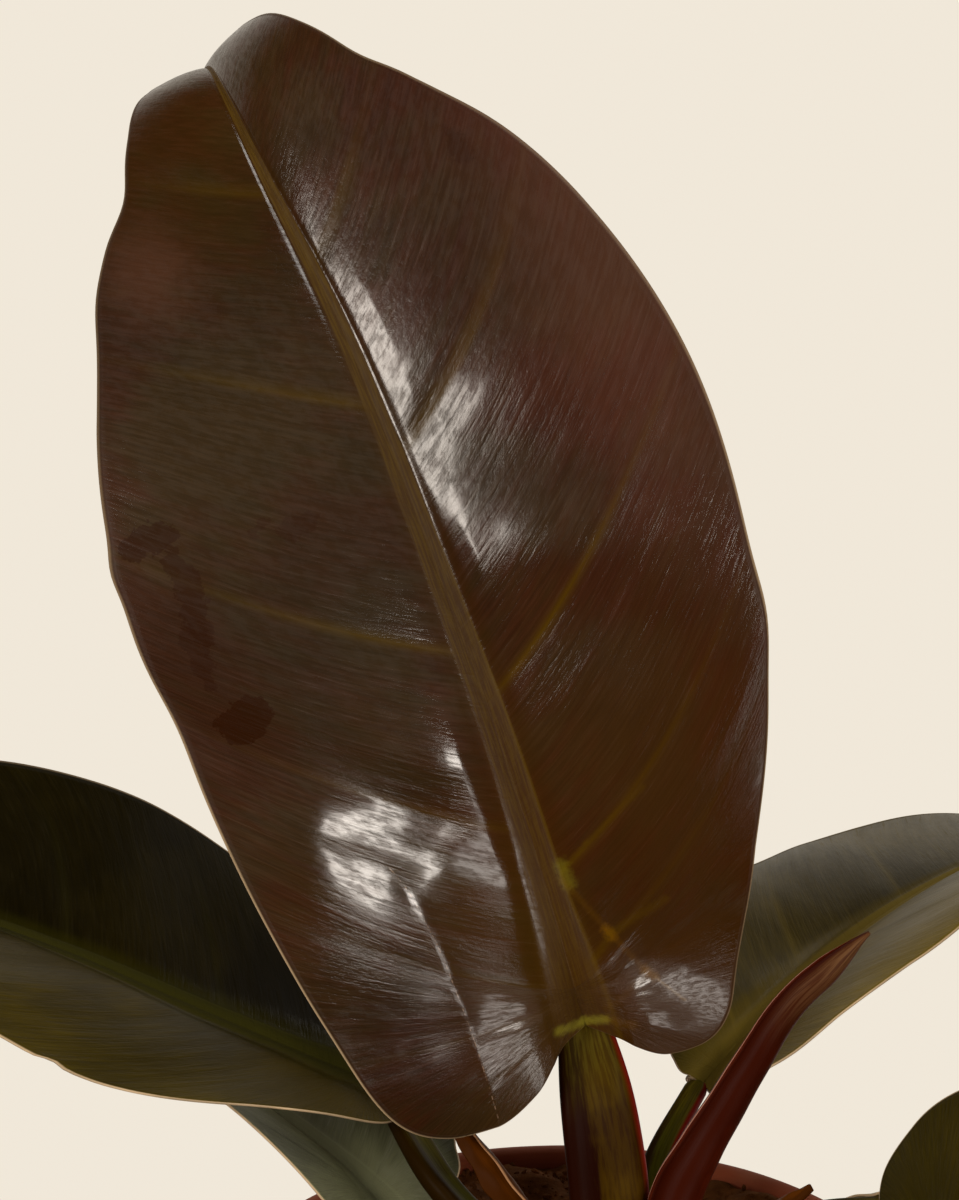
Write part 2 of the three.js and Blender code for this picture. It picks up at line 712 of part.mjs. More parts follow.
// Each later piece is cut back from the stem and from the stalks that stand inside it.
const taken = [stemSolid(GAP)];
for (const [name, leaf] of Object.entries(LEAVES)) {
  const spine = new Spine(leaf.midrib, ...leaf.across);
  const blade = bladeSheet(leaf, spine, 0).add(ribSolid(leaf, spine, 0));
  add(`${name}_blade`, blade, name === "main_leaf" ? BRONZE : DARK_GREEN);
  const grownBlade = bladeSheet(leaf, spine, GAP).add(ribSolid(leaf, spine, GAP));
  const stalk = clearOf(stalkSolid(leaf, spine, 0), [...taken, grownBlade]);
  add(`${name}_stalk`, stalk, STALK_RED);
  taken.push(stalkSolid(leaf, spine, GAP));
  if (name === "main_leaf") {
    add("rolled_leaf", clearOf(spearSolid(0), taken), SPEAR_RED);
    taken.push(spearSolid(GAP));
  }
}

for (const [name, sheath] of Object.entries(SHEATHS)) {
  add(name, clearOf(sheathSolid(sheath, 0), taken), SHEATH_BROWN);
  taken.push(sheathSolid(sheath, GAP));
}

export default plant;
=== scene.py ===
"""Fine surfaces and finishes of a potted imperial red philodendron.

The routes, outlines and sizes below are in millimetres, and every mesh is made in metres, with +Z up
and the front along -Y.
"""

import math
from dataclasses import dataclass, field

import bpy
import numpy as np
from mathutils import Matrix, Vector, noise


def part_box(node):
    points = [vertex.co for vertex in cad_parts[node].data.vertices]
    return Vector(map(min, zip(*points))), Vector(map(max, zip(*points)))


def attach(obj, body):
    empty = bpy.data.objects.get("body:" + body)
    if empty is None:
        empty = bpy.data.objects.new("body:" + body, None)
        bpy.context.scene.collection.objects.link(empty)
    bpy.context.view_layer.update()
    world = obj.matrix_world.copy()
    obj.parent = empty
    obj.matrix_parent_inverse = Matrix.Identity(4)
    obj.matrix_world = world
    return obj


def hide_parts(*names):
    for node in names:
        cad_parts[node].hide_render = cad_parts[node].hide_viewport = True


bl_info = {
    "name": "Potted philodendron",
    "version": (1, 0, 0),
    "blender": (4, 5, 0),
    "location": "3D View > Sidebar > Philodendron",
    "description": "Builds the leaves, stalks, soil and clay pot of a philodendron, with their finishes",
    "category": "Object",
}

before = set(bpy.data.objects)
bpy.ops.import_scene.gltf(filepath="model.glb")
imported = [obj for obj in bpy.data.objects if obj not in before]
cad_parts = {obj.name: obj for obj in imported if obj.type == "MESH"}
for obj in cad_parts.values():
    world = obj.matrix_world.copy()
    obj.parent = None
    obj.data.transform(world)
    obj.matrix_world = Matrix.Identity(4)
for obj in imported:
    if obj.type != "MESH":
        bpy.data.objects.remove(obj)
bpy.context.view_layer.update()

MM = 0.001
BODY = "root"


def srgb(red, green, blue):
    """A colour from 0 to 255 as seen on screen, turned into linear light."""
    return tuple((channel / 255) ** 2.2 for channel in (red, green, blue))


# Smooth curves


def smooth_curve(corners, count):
    """Points on an evenly numbered Catmull-Rom curve through the corners."""
    corners = np.array(corners, float)
    ahead = 2 * corners[0] - corners[1]
    beyond = 2 * corners[-1] - corners[-2]
    p = np.vstack([ahead, corners, beyond])
    t = np.linspace(0, len(corners) - 1, count)
    i = np.minimum(t.astype(int), len(corners) - 2)
    f = (t - i)[:, None]
    a, b, c, d = p[i], p[i + 1], p[i + 2], p[i + 3]
    return b + 0.5 * f * (c - a + f * (2 * a - 5 * b + 4 * c - d + f * (3 * (b - c) + d - a)))


def smooth_read(values, share):
    """Values given at even steps from base to tip, read smoothly at any share of the way."""
    steps = 200
    column = np.array(values, float)[:, None]
    fine = smooth_curve(column, steps + 1)[:, 0]
    return np.interp(np.clip(share, 0, 1), np.linspace(0, 1, steps + 1), fine)


def soft_step(value):
    value = np.clip(value, 0, 1)
    return value * value * (3 - 2 * value)


def unit(vectors):
    return vectors / np.maximum(np.linalg.norm(vectors, axis=-1, keepdims=True), 1e-12)


class Spine:
    """A smooth route with directions along it, across it and out of its face."""

    def __init__(self, corners, across_base, across_tip, samples=600):
        self.places = smooth_curve(corners, samples + 1)
        self.tangents = unit(np.gradient(self.places, axis=0))
        steps = np.linalg.norm(np.diff(self.places, axis=0), axis=1)
        self.distance = np.concatenate([[0], np.cumsum(steps)])
        self.length = self.distance[-1]
        self.across_ends = np.array([across_base, across_tip], float)

    def at(self, distance):
        """Centre, along, across and face at distances from the base. Past an end it runs on straight."""
        distance = np.asarray(distance, float)
        inside = np.clip(distance, 0, self.length)
        centre = self.read(self.places, inside)
        along = unit(self.read(self.tangents, inside))
        centre = centre + along * (distance - inside)[..., None]
        share = (inside / self.length)[..., None]
        across = self.across_ends[0] * (1 - share) + self.across_ends[1] * share
        across = unit(across - along * (across * along).sum(-1, keepdims=True))
        return centre, along, across, np.cross(across, along)

    def read(self, column, inside):
        return np.stack([np.interp(inside, self.distance, column[:, k]) for k in range(3)], -1)


# The plant: routes and outlines in mm, close to those of its solids

# One half of a leaf's outline: shares of the half width and of the midrib's length.

OUTLINE = [
    (0, 0), (0.1, -0.012), (0.23, -0.036), (0.38, -0.046), (0.52, -0.03),
    (0.64, 0.025), (0.78, 0.11), (0.91, 0.22), (0.985, 0.34), (1, 0.46),
    (0.94, 0.58), (0.79, 0.7), (0.56, 0.81), (0.27, 0.915), (0, 1),
]

# The large leaf's own halves differ a little.
MAIN_RIGHT = [
    (0, 0), (0.1, -0.014), (0.23, -0.04), (0.36, -0.046), (0.47, -0.022),
    (0.55, 0.03), (0.69, 0.115), (0.875, 0.235), (0.98, 0.36), (1, 0.48),
    (0.925, 0.6), (0.76, 0.72), (0.51, 0.83), (0.23, 0.925), (0, 1),
]
MAIN_LEFT = [
    (0, 0), (0.1, -0.006), (0.22, -0.033), (0.375, -0.054), (0.56, -0.05),
    (0.715, -0.01), (0.825, 0.085), (0.92, 0.21), (0.97, 0.34), (0.99, 0.45),
    (0.925, 0.57), (0.77, 0.69), (0.545, 0.8), (0.265, 0.91), (0, 1),
]

# A half that is drawn in at the base, with hardly any lobe.
SHORT_LOBE = [
    (0, 0), (0.08, -0.006), (0.17, -0.014), (0.27, -0.012), (0.38, 0.005),
    (0.5, 0.045), (0.66, 0.12), (0.83, 0.225), (0.95, 0.34), (1, 0.46),
    (0.94, 0.58), (0.79, 0.7), (0.56, 0.81), (0.27, 0.915), (0, 1),
]

# Side veins: their slope from the midrib, their bow, and in mm how softly the first ones leave the
# midrib's base and the length of midrib that they cover at least.
VEIN_LEAN = 0.8
VEIN_BOW = 0.35
VEIN_SOFTNESS = 4
VEIN_SPREAD = 12

# Waves along each margin, and the turns by which the right half's lie ahead of the left half's.
MARGIN_WAVES = 3
MARGIN_SHIFT = 0.37

# Rib under the midrib: the share of its length at which it ends, and its depth for its half width.
RIB_REACH = 0.9
RIB_DEPTH = 1.25

# Midrib on the upper face: its flare at the base, the share of the way over which the flare ends,
# the power by which it narrows, and its half width at the tip in mm.
RIB_FLARE = 0.45
FLARE_REACH = 0.15
RIB_TAPER = 1.12
RIB_TIP = 0.4

# Swells, dents and the fold line's ridge grow to full height over this distance from the midrib, in mm.
RIB_CLEARANCE = 8

# Swells and panels keep at least LOBE_CALM of their height, and rise to all of it from LOBE_END of the
# way round the margin over LOBE_BLEND of the way.
LOBE_END = 0.28
LOBE_BLEND = 0.25
LOBE_CALM = 0.15

# Half width, in mm, of a leaf whose panels bulge by the full setting.
PANEL_HALF = 60

# Vertices crowd toward the midrib by this power.
MIDRIB_CROWDING = 1.35


@dataclass
class Leaf:
    """One leaf: routes in mm, fold and curl of each half in degrees from base to tip.

    halves holds factors for the colours of the left and the right half, partly each half's own tint and
    partly painted light and shade, the half facing the lights made lighter. joint says how far below the
    blade's base the stalk ends, from 1 for just under it to less than 0 for above it. veins holds the
    place round the margin and the strength of each side vein. dents holds place, size and rise in the
    leaf's own plane, and nudges the place, width and rise of shifts of the margin. Both rise in mm.
    """

    midrib: list
    across: tuple
    half: float
    fold: tuple
    curl: tuple
    stalk: list
    stalk_width: list
    stalk_depth: list
    rib: tuple = (3, 0.7)
    wave: float = 1.2
    left: list = field(default_factory=lambda: OUTLINE)
    right: list = field(default_factory=lambda: OUTLINE)
    finish: str = "dark_leaf"
    tone: str = "dark"
    # Colour factors for the left and right half, partly their own tint and partly painted light and shade.
    halves: tuple = (1, 1)
    joint: float = 1
    mesh_size: tuple = (120, 32)
    veins: tuple = ()
    dents: list = field(default_factory=list)
    nudges: tuple = ()


LEAVES = {
    "main_leaf": Leaf(
        midrib=[
            (3, 8, 178), (-4, 7, 204), (-15, 11, 239), (-31, 24, 280), (-45, 39, 312),
            (-61, 58, 340), (-70, 74, 354.5), (-74, 87, 358.5), (-77, 99, 356),
        ],
        across=((0.93, 0.095, 0.354), (0.93, 0.095, 0.354)),
        half=60.5,
        left=MAIN_LEFT,
        right=MAIN_RIGHT,
        fold=([19, 15, 16, 15, 16], [12, 13, 14, 26, 66]),
        curl=([-14, -16, -18, -22, -30], [-12, -7, -11, -24, -66]),
        wave=0.8,
        rib=(4, 0.8),
        stalk=[(9, 0, 123), (8.6, 0.6, 133), (7.8, 2, 146), (5.6, 5, 162)],
        stalk_width=[18, 17.5, 16.5, 14.5, 10],
        stalk_depth=[10, 9.5, 9, 8.5, 7],
        finish="bronze_leaf",
        tone="bronze",
        mesh_size=(240, 64),
        veins=(
            [
                (0.2, 0.4), (0.3, 0.5), (0.4, 0.6), (0.497, 0.5),
                (0.591, 0.8), (0.684, 1), (0.79, 1), (0.884, 0.8),
            ],
            [
                (0.21, 0.4), (0.31, 0.5), (0.4, 0.5), (0.505, 0.7),
                (0.558, 0.9), (0.66, 1), (0.767, 1), (0.85, 0.8),
            ],
        ),
        # Most of these dents are not set by eye. A scratch program solved for them, to turn the leaf's
        # reflections toward directions chosen from the photograph.
        dents=[
            ((15, 0), (14, 9), 2.4), ((-6, -17), (24, 20), 7), ((-37, 46), (12, 10), 0.6),
            ((34, 72), (12, 17), -1.3), ((20, 4), (9, 9), -0.9), ((-28, 44), (9, 9), -1),
            ((-24, 8), (9, 16), -0.9), ((-8, 61), (9, 13), 1.3), ((15, -10), (11, 10), 1.8),
            ((-12, 36), (9, 9), -1.26), ((-48, 16), (16, 9), -0.7), ((4, 8), (9, 9), 1.1),
            ((-44, 56), (9, 9), 0.5), ((16, 0), (16, 9), -0.9), ((8, 20), (16, 9), -0.7),
            ((-44, 12), (9, 9), -0.6), ((12, -12), (16, 9), 0.6), ((-56, 36), (9, 16), -0.4),
            ((-40, 64), (9, 9), 0.4), ((-16, 62), (14, 14), 0.4), ((20, 92), (22, 12), 1.15),
            ((-32, 44), (16, 9), -0.74), ((-4, 44), (9, 9), 0.83), ((24, 0), (9, 9), -0.57),
            ((-32, 72), (9, 9), -0.38), ((-40, 64), (9, 16), 0.46), ((-12, 76), (16, 9), 0.34),
            ((16, 116), (16, 9), -0.54), ((-12, 4), (9, 9), 0.5), ((24, 92), (9, 9), 0.5),
            ((-52, 64), (9, 9), -0.4), ((-12, 48), (9, 9), 0.35), ((28, 0), (22, 12), -0.9),
            ((16, -16), (12, 12), 0.6), ((36, -4), (9, 9), -1.1), ((12, 12), (9, 9), -0.6),
            ((12, 4), (16, 12), 1.6), ((36, 12), (9, 9), -1), ((16, -8), (9, 9), -1.4),
        ],
        nudges=(
            [
                (0.24, 0.08, -1.9), (0.585, 0.03, -0.9), (0.672, 0.012, 0.8), (0.82, 0.022, 1),
                (0.872, 0.018, -2), (0.917, 0.02, 0.9), (0.948, 0.026, 3.4),
            ],
            [
                (0.2, 0.07, -2.1), (0.53, 0.02, 1.2), (0.67, 0.07, 0.9), (0.82, 0.03, -1),
                (0.86, 0.02, -1.5), (0.925, 0.03, 2),
            ],
        ),
    ),
    "left_leaf": Leaf(
        midrib=[
            (-34, 17, 159.5), (-56, 22, 167), (-80, 28, 175.5), (-105, 37, 183),
            (-135, 50, 188), (-165, 60, 188), (-191, 66, 183), (-212, 69, 175),
        ],
        across=((0.1, 0.99, 0.1), (0.1, 0.95, 0.3)),
        half=46,
        left=SHORT_LOBE,
        fold=([12, 8, 26, 41, 40], [26, 15, 16, 22, 20]),
        curl=([-8, -14, -14, -10, -10], [-6, -4, -4, -6, -10]),
        rib=(3.4, 0.7),
        stalk=[(6, -5, 125), (-10, -4, 134), (-24.5, -1, 147)],
        stalk_width=[12, 11, 9.6, 8.6, 7.5],
        stalk_depth=[7, 7, 7, 6.6, 5.6],
        mesh_size=(170, 44),
        # Painted light: the left half is made much lighter as the lit half, the right half a little darker.
        halves=(5.2, 0.95),
        nudges=([(0.62, 0.3, -1.7), (0.6, 0.06, -2.4), (0.549, 0.006, -1.3)], [(0.5, 0.2, 0.3)]),
    ),
    "low_left_leaf": Leaf(
        midrib=[
            (-36, 11, 135.5), (-46, 24, 140.5), (-61, 43, 144), (-76, 62, 146.5),
            (-91, 82, 146), (-105, 101, 142), (-116, 118, 135),
        ],
        across=((0.72, 0.65, 0.25), (0.75, 0.6, 0.2)),
        half=32,
        fold=([44, 54, 44, 24, 12], [34, 24, 18, 16, 12]),
        curl=([-10, -12, -14, -14, -14], [-8, -10, -14, -14, -14]),
        wave=1,
        rib=(2.6, 0.6),
        stalk=[(6, -1, 124), (-9, 2, 130), (-24, 6, 133)],
        stalk_width=[10, 9, 8, 7, 6],
        stalk_depth=[6, 5.6, 5.2, 5, 4.4],
        tone="blue",
        halves=(2.1, 0.88),
    ),
    "right_back_leaf": Leaf(
        midrib=[
            (29, 43, 150), (39, 54, 157), (52, 68, 164), (68, 83, 171), (84, 98, 175),
            (101, 115, 176), (120, 132, 174), (139, 146, 168), (155, 156, 159),
        ],
        across=((0.9, -0.25, 0.25), (0.7, -0.69, 0.15)),
        half=42,
        left=SHORT_LOBE,
        fold=([74, 28, 16, 16, 12], [34, 25, 21, 22, 18]),
        curl=([0, -10, -16, -14, -12], [-14, -12, -12, -12, -12]),
        wave=1.4,
        stalk=[(15, 0, 125), (17.5, 13, 129), (18.5, 26, 139.5)],
        stalk_width=[9, 7.6, 6.2, 5.4, 5],
        stalk_depth=[7, 6.6, 6.2, 5.8, 5],
        finish="green_leaf",
        tone="green",
        mesh_size=(150, 40),
        halves=(0.55, 1.3),
        joint=-0.5,
    ),
    "low_right_leaf": Leaf(
        midrib=[
            (66, 20, 136.5), (88, 26, 135.5), (112, 32, 131),
            (136, 38, 121), (157, 43, 109), (173, 47, 95),
        ],
        across=((0.25, -0.95, 0.1), (0.22, -0.97, 0)),
        half=37,
        fold=([-18, -16, -10, -4, 0], [0, 4, 8, 8, 8]),
        curl=([-10, -12, -14, -14, -14], [-8, -10, -12, -14, -14]),
        rib=(2.6, 0.6),
        stalk=[(17, -2, 124), (33, 6, 131), (50, 14, 134.5)],
        stalk_width=[10, 9, 7.6, 6.8, 6],
        stalk_depth=[6, 5.6, 5.2, 5, 4.4],
        finish="green_leaf",
        tone="green",
    ),
    "right_front_leaf": Leaf(
        midrib=[
            (64, -21, 142), (85, -30, 151), (108, -41, 155),
            (133, -52, 154), (158, -63, 148), (180, -72, 138),
        ],
        across=((-0.42, -0.9, 0.1), (-0.4, -0.91, 0.1)),
        half=42,
        fold=([46, 40, 30, 20, 14], [16, 16, 16, 14, 12]),
        curl=([-8, -10, -14, -14, -14], [-8, -10, -14, -14, -14]),
        stalk=[(15, -6, 125), (30, -10, 131), (47, -15, 138)],
        stalk_width=[11, 10, 8.8, 8, 6.8],
        stalk_depth=[7, 6.4, 6, 5.6, 5],
        mesh_size=(150, 40),
        halves=(2.6, 2.6),
        nudges=([(0.39, 0.1, 3.6)], [(0.5, 0.1, 0)]),
    ),
    "front_leaf": Leaf(
        midrib=[
            (11, -46, 138), (10, -70, 146), (8, -96, 150),
            (6, -123, 148), (4, -149, 140), (2, -171, 128),
        ],
        across=((-0.99, 0.05, 0.08), (-0.99, 0.05, -0.05)),
        half=39,
        fold=([22, 20, 17, 14, 10], [20, 18, 16, 14, 10]),
        curl=([-10, -12, -14, -14, -14], [-10, -12, -14, -14, -14]),
        wave=1.3,
        rib=(2.8, 0.6),
        stalk=[(12, -9, 124), (12, -22, 128.5), (12, -35, 134)],
        stalk_width=[10, 9, 8, 7.4, 6.4],
        stalk_depth=[6, 5.8, 5.6, 5.2, 4.6],
    ),
    "front_left_leaf": Leaf(
        midrib=[
            (-24, -30, 135), (-44, -44, 141), (-66, -59, 143.5),
            (-88, -74, 142), (-109, -88, 136), (-126, -99, 126),
        ],
        across=((-0.55, 0.83, 0.05), (-0.55, 0.83, 0)),
        half=37,
        fold=([18, 18, 16, 14, 10], [16, 14, 12, 12, 10]),
        curl=([-10, -12, -14, -14, -14], [-10, -12, -16, -16, -14]),
        wave=1.1,
        rib=(2.6, 0.6),
        stalk=[(8, -8, 124), (-4, -16, 128), (-15, -24, 132)],
        stalk_width=[10, 9, 8, 7, 6],
        stalk_depth=[6, 5.6, 5.2, 5, 4.4],
        finish="green_leaf",
        tone="green",
    ),
    "back_leaf": Leaf(
        midrib=[
            (2, 35, 174), (-2, 56, 190), (-8, 82, 204),
            (-15, 110, 212), (-22, 138, 213), (-29, 164, 206),
        ],
        across=((0.97, 0.22, 0.05), (0.97, 0.22, 0.05)),
        half=40,
        fold=([20, 18, 16, 14, 10], [20, 18, 16, 14, 10]),
        curl=([-10, -12, -14, -14, -14], [-10, -12, -14, -14, -14]),
        stalk=[(10, 3, 125), (9, 12, 139), (7, 22, 156)],
        stalk_width=[11, 10, 9, 8, 7],
        stalk_depth=[7, 6.6, 6.2, 5.8, 5],
        finish="bronze_leaf",
        tone="bronze",
    ),
}

# seam is where the outer edge lies round the roll, in radians, and lap how far it stands out.
ROLLED_LEAF = {
    "route": [
        (17, -3, 126), (19, -1.5, 136), (22, 0.6, 146.4), (25.9, 1.6, 154), (31.2, 2.7, 163.4),
        (42.3, 4.6, 182.2), (50.2, 4.9, 190.5), (55.8, 5.3, 196), (58.7, 5.8, 198.3),
    ],
    "across": (1, 0, -0.3),
    "radius": [5.2, 5.4, 5.3, 4.6, 4.1, 3.7, 3.25, 2.8, 0.4],
    "seam": -1.9,
    "lap": 0.16,
}

# spread is the angle from a sheath's middle to each of its edges, in degrees.
SHEATHS = {
    "left_sheath": {
        "route": [(4, -9, 124), (-4, -5, 137), (-12.5, 0, 148), (-19, 6, 154), (-25, 11, 161)],
        "across": (0.6, -0.7, 0.4),
        "radius": [7, 6, 5, 4, 0.8],
        "spread": 62,
    },
    "right_sheath": {
        "route": [(18, -10, 124), (26, -7, 133), (36, -3, 141), (48, 1, 146.5)],
        "across": (0.3, 0.9, 0.2),
        "radius": [7, 6.5, 5, 1],
        "spread": 60,
    },
}

# Crown, where the stalks clasp the stem, and the stem's outline as (radius, height), in mm.
CROWN = (12, -5)
STEM = [(9, 92), (10, 100), (11, 112), (11, 125), (9, 129), (5, 131)]


# Settings a user would change


def length(name, default, text):
    return bpy.props.FloatProperty(name=name, default=default, description=text, unit="LENGTH", precision=5)


def colour(name, default, text):
    return bpy.props.FloatVectorProperty(
        name=name, default=default, description=text, subtype="COLOR", size=3, min=0, max=1
    )


def power(name, default, text):
    return bpy.props.FloatProperty(name=name, default=default, description=text, unit="POWER")


class LeafSettings(bpy.types.PropertyGroup):
    """Sizes and colours of the leaf blades."""

    thickness: length("Thickness", 0.9 * MM, "Thickness of a blade away from its margin")
    margin: length("Margin", 0.45 * MM, "Thickness of a blade at its margin")
    swell: length("Swell", 0.16 * MM, "Height of the swells between the side veins")
    panel: length("Panels", 0.8 * MM, "Bulge of the blade between its side veins")
    groove: length("Midrib groove", 0.36 * MM, "Depth of the grooves beside the midrib")
    bronze: colour("Bronze", srgb(62, 45, 27), "Large leaf, upper side")
    bronze_red: colour("Red bronze", srgb(67, 38, 24), "Warm patches of the large leaf")
    maroon: colour("Maroon", srgb(80, 38, 26), "Red margin zone of the large leaf")
    moss: colour("Moss", srgb(54, 47, 28), "Cooler zone of the large leaf")
    # Painted light: this amber stands for light coming through the leaf.
    backlit_amber: colour("Amber", srgb(72, 42, 3), "Where light comes through the large leaf")
    # Painted sheen: a pale colour that stands for light reflected near the margins.
    bloom: colour("Bloom", srgb(124, 82, 64), "Pale sheen near the margins")
    stain: colour("Stain", srgb(50, 25, 1), "Dried water marks")
    olive: colour("Olive", srgb(94, 70, 6), "Side veins of the bronze leaves")
    midrib: colour("Midrib", srgb(68, 43, 8), "Midribs of the bronze leaves")
    joint: colour("Joint", srgb(140, 130, 40), "Yellow green where veins and stalk join")
    ochre: colour("Ochre", srgb(124, 84, 14), "Veins of the lobes")
    dark_green: colour("Dark green", srgb(32, 27, 2), "Middle leaves, upper side")
    grey_green: colour("Grey green", srgb(106, 90, 34), "Older leaves, upper side")
    blue_green: colour("Blue green", srgb(100, 102, 76), "Lower left leaf, upper side")
    green_rib: colour("Green midrib", srgb(58, 56, 12), "Midribs of the dark leaves")
    underside: colour("Underside", srgb(104, 58, 38), "Lower side of the blades")
    # Partly the margin's own paler colour, partly painted glow of light coming through the thin margin.
    edge: colour("Edge", srgb(240, 208, 164), "Thin pale margin")


class StalkSettings(bpy.types.PropertyGroup):
    """Shape and colours of the stalks, the rolled leaf and the sheaths."""

    channel: bpy.props.FloatProperty(
        name="Channel", default=0.42, min=0, max=0.7,
        description="Depth of the groove along a stalk, as a share of its half depth",
    )
    olive: colour("Olive", srgb(80, 58, 6), "Middle of the large leaf's stalk")
    brown: colour("Brown", srgb(42, 17, 2), "Sides of the large leaf's stalk")
    red: colour("Red", srgb(124, 26, 16), "Edge of the large leaf's stalk")
    green: colour("Green", srgb(70, 68, 14), "Middle of the other stalks")
    green_brown: colour("Green brown", srgb(44, 30, 5), "Sides of the other stalks")
    joint_green: colour("Joint green", srgb(96, 84, 26), "Where the stalk meets the blade")
    spear: colour("Rolled leaf", srgb(86, 32, 14), "Rolled leaf")
    sheath: colour("Sheath", srgb(96, 52, 12), "Papery sheaths")


class PotSettings(bpy.types.PropertyGroup):
    """Sizes and colour of the clay pot, taken from the frame where they fix its place."""

    height: length("Height", round(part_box("pot")[1].z, 5), "Height of the rim")
    rim_radius: length("Rim radius", round(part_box("pot")[1].x, 5), "Outer radius at the rim")
    foot_radius: length("Foot radius", 46 * MM, "Outer radius at the base")
    clay: colour("Clay", srgb(176, 88, 54), "Fired clay")
    drain_radius: length("Drain radius", 5 * MM, "Radius of each drain hole")
    drain_circle: length("Drain circle", 26 * MM, "Distance of the drain holes from the middle")
    drains: bpy.props.IntProperty(name="Drains", default=4, min=0, description="Number of drain holes")


class SoilSettings(bpy.types.PropertyGroup):
    """Soil surface and its loose crumbs."""

    top: length("Top", 123 * MM, "Height of the soil")
    crumbs: bpy.props.IntProperty(name="Crumbs", default=2600, description="Loose crumbs on the soil")
    crumb_size: length("Crumb size", 1.1 * MM, "Radius of the largest crumbs")
    seed: bpy.props.IntProperty(name="Seed", default=7, description="Arrangement of the crumbs")
    colour: colour("Soil", srgb(124, 78, 42), "Moist potting soil")


class StageSettings(bpy.types.PropertyGroup):
    """Floor, lights and background."""

    paper: colour("Background", srgb(240, 231, 216), "Cream background")
    key: power("Key light", 10.5, "Front left light")
    fill: power("Fill light", 4.8, "Front right light")
    low: power("Low light", 2.3, "Low front right light")
    top: power("Top light", 5, "Overhead light")


SETTINGS = {
    "philodendron_leaf": LeafSettings,
    "philodendron_stalk": StalkSettings,
    "philodendron_pot": PotSettings,
    "philodendron_soil": SoilSettings,
    "philodendron_stage": StageSettings,
}


# Node trees


class Graph:
    """Short ways to add and join the nodes of one tree."""

    def __init__(self, tree):
        self.tree = tree

    def socket(self, name, kind, default=None, given=True):
        """Gives the tree an input, or an output where given is false."""
        side = "INPUT" if given else "OUTPUT"
        item = self.tree.interface.new_socket(name, in_out=side, socket_type="NodeSocket" + kind)
        if default is not None:
            item.default_value = default

    def put(self, socket, value):
        if isinstance(value, bpy.types.NodeSocket):
            self.tree.links.new(value, socket)
        elif socket.type == "RGBA" and len(value) == 3:
            socket.default_value = (*value, 1)
        else:
            socket.default_value = value

    def add(self, kind, inputs=None, **choices):
        """A node, with its choices made and its inputs, by name or number, filled or joined."""
        node = self.tree.nodes.new(kind)
        for name, value in choices.items():
            setattr(node, name, value)
        for key, value in (inputs or {}).items():
            self.put(node.inputs[key], value)
        return node

    def math(self, operation, *values):
        node = self.add("ShaderNodeMath", dict(enumerate(values)), operation=operation)
        return node.outputs[0]

    def times(self, value, *factors):
        """A value multiplied by every factor."""
        for factor in factors:
            value = self.math("MULTIPLY", value, factor)
        return value

    def object_place(self):
        return self.add("ShaderNodeTexCoord").outputs["Object"]

    def uv(self, name):
        return self.add("ShaderNodeUVMap", uv_map=name).outputs[0]

    def vector(self, operation, *values):
        node = self.add("ShaderNodeVectorMath", dict(enumerate(values)), operation=operation)
        return node.outputs["Value" if operation in ("LENGTH", "DISTANCE", "DOT_PRODUCT") else 0]

    def scaled(self, vector, factor):
        node = self.add("ShaderNodeVectorMath", {0: vector, "Scale": factor}, operation="SCALE")
        return node.outputs[0]

    def combine(self, x=0.0, y=0.0, z=0.0):
        return self.add("ShaderNodeCombineXYZ", {0: x, 1: y, 2: z}).outputs[0]

    def separate(self, vector):
        return self.add("ShaderNodeSeparateXYZ", {0: vector}).outputs

    def blend(self, factor, first, second):
        """A colour between two others."""
        node = self.add("ShaderNodeMix", {0: factor, 6: first, 7: second}, data_type="RGBA")
        return node.outputs[2]

    def fade(self, value, start, end, low=0.0, high=1.0):
        """A value that goes smoothly from low to high as another goes from start to end."""
        inputs = {0: value, 1: start, 2: end, 3: low, 4: high}
        return self.add("ShaderNodeMapRange", inputs, interpolation_type="SMOOTHSTEP").outputs[0]

    def noise(self, vector, scale, detail=3.0, roughness=0.55, colour=False):
        inputs = {"Vector": vector, "Scale": scale, "Detail": detail, "Roughness": roughness}
        return self.add("ShaderNodeTexNoise", inputs).outputs["Color" if colour else "Fac"]

    def finish(self, **values):
        """Joins values to the tree's own outputs."""
        names = {name.replace(" ", "_").lower(): name for name in self.outputs()}
        self.add("NodeGroupOutput", {names[key]: value for key, value in values.items()})

    def outputs(self):
        return [i.name for i in self.tree.interface.items_tree if i.in_out == "OUTPUT"]


def shader_group(name, inputs, outputs):
    """A new shader node group and its input sockets. inputs are (name, kind, default)."""
    graph = Graph(bpy.data.node_groups.new(name, "ShaderNodeTree"))
    for socket in inputs:
        graph.socket(*socket)
    for socket in outputs:
        graph.socket(*socket, given=False)
    return graph, graph.add("NodeGroupInput").outputs


def use_group(graph, name, build, **values):
    """Places a shared group in a tree, built the first time it is asked for."""
    tree = bpy.data.node_groups.get(name) or build(name)
    node = graph.add("ShaderNodeGroup", node_tree=tree)
    for key, value in values.items():
        graph.put(node.inputs[key.replace("_", " ").capitalize()], value)
    return node.outputs


def mottling(name):
    """Two colours in soft patches over an object."""
    graph, given = shader_group(
        name,
        [("First", "Color", (0.5, 0.5, 0.5, 1)), ("Second", "Color", (0.2, 0.2, 0.2, 1)),
         ("Scale", "Float", 30.0), ("Contrast", "Float", 0.2)],
        [("Colour", "Color"), ("Mask", "Float")],
    )
    place = graph.object_place()
    cloud = graph.noise(place, given["Scale"], 4.0, 0.6)
    low = graph.math("SUBTRACT", 0.5, given["Contrast"])
    high = graph.math("ADD", 0.5, given["Contrast"])
    mask = graph.fade(cloud, low, high)
    graph.finish(colour=graph.blend(mask, given["First"], given["Second"]), mask=mask)
    return graph.tree


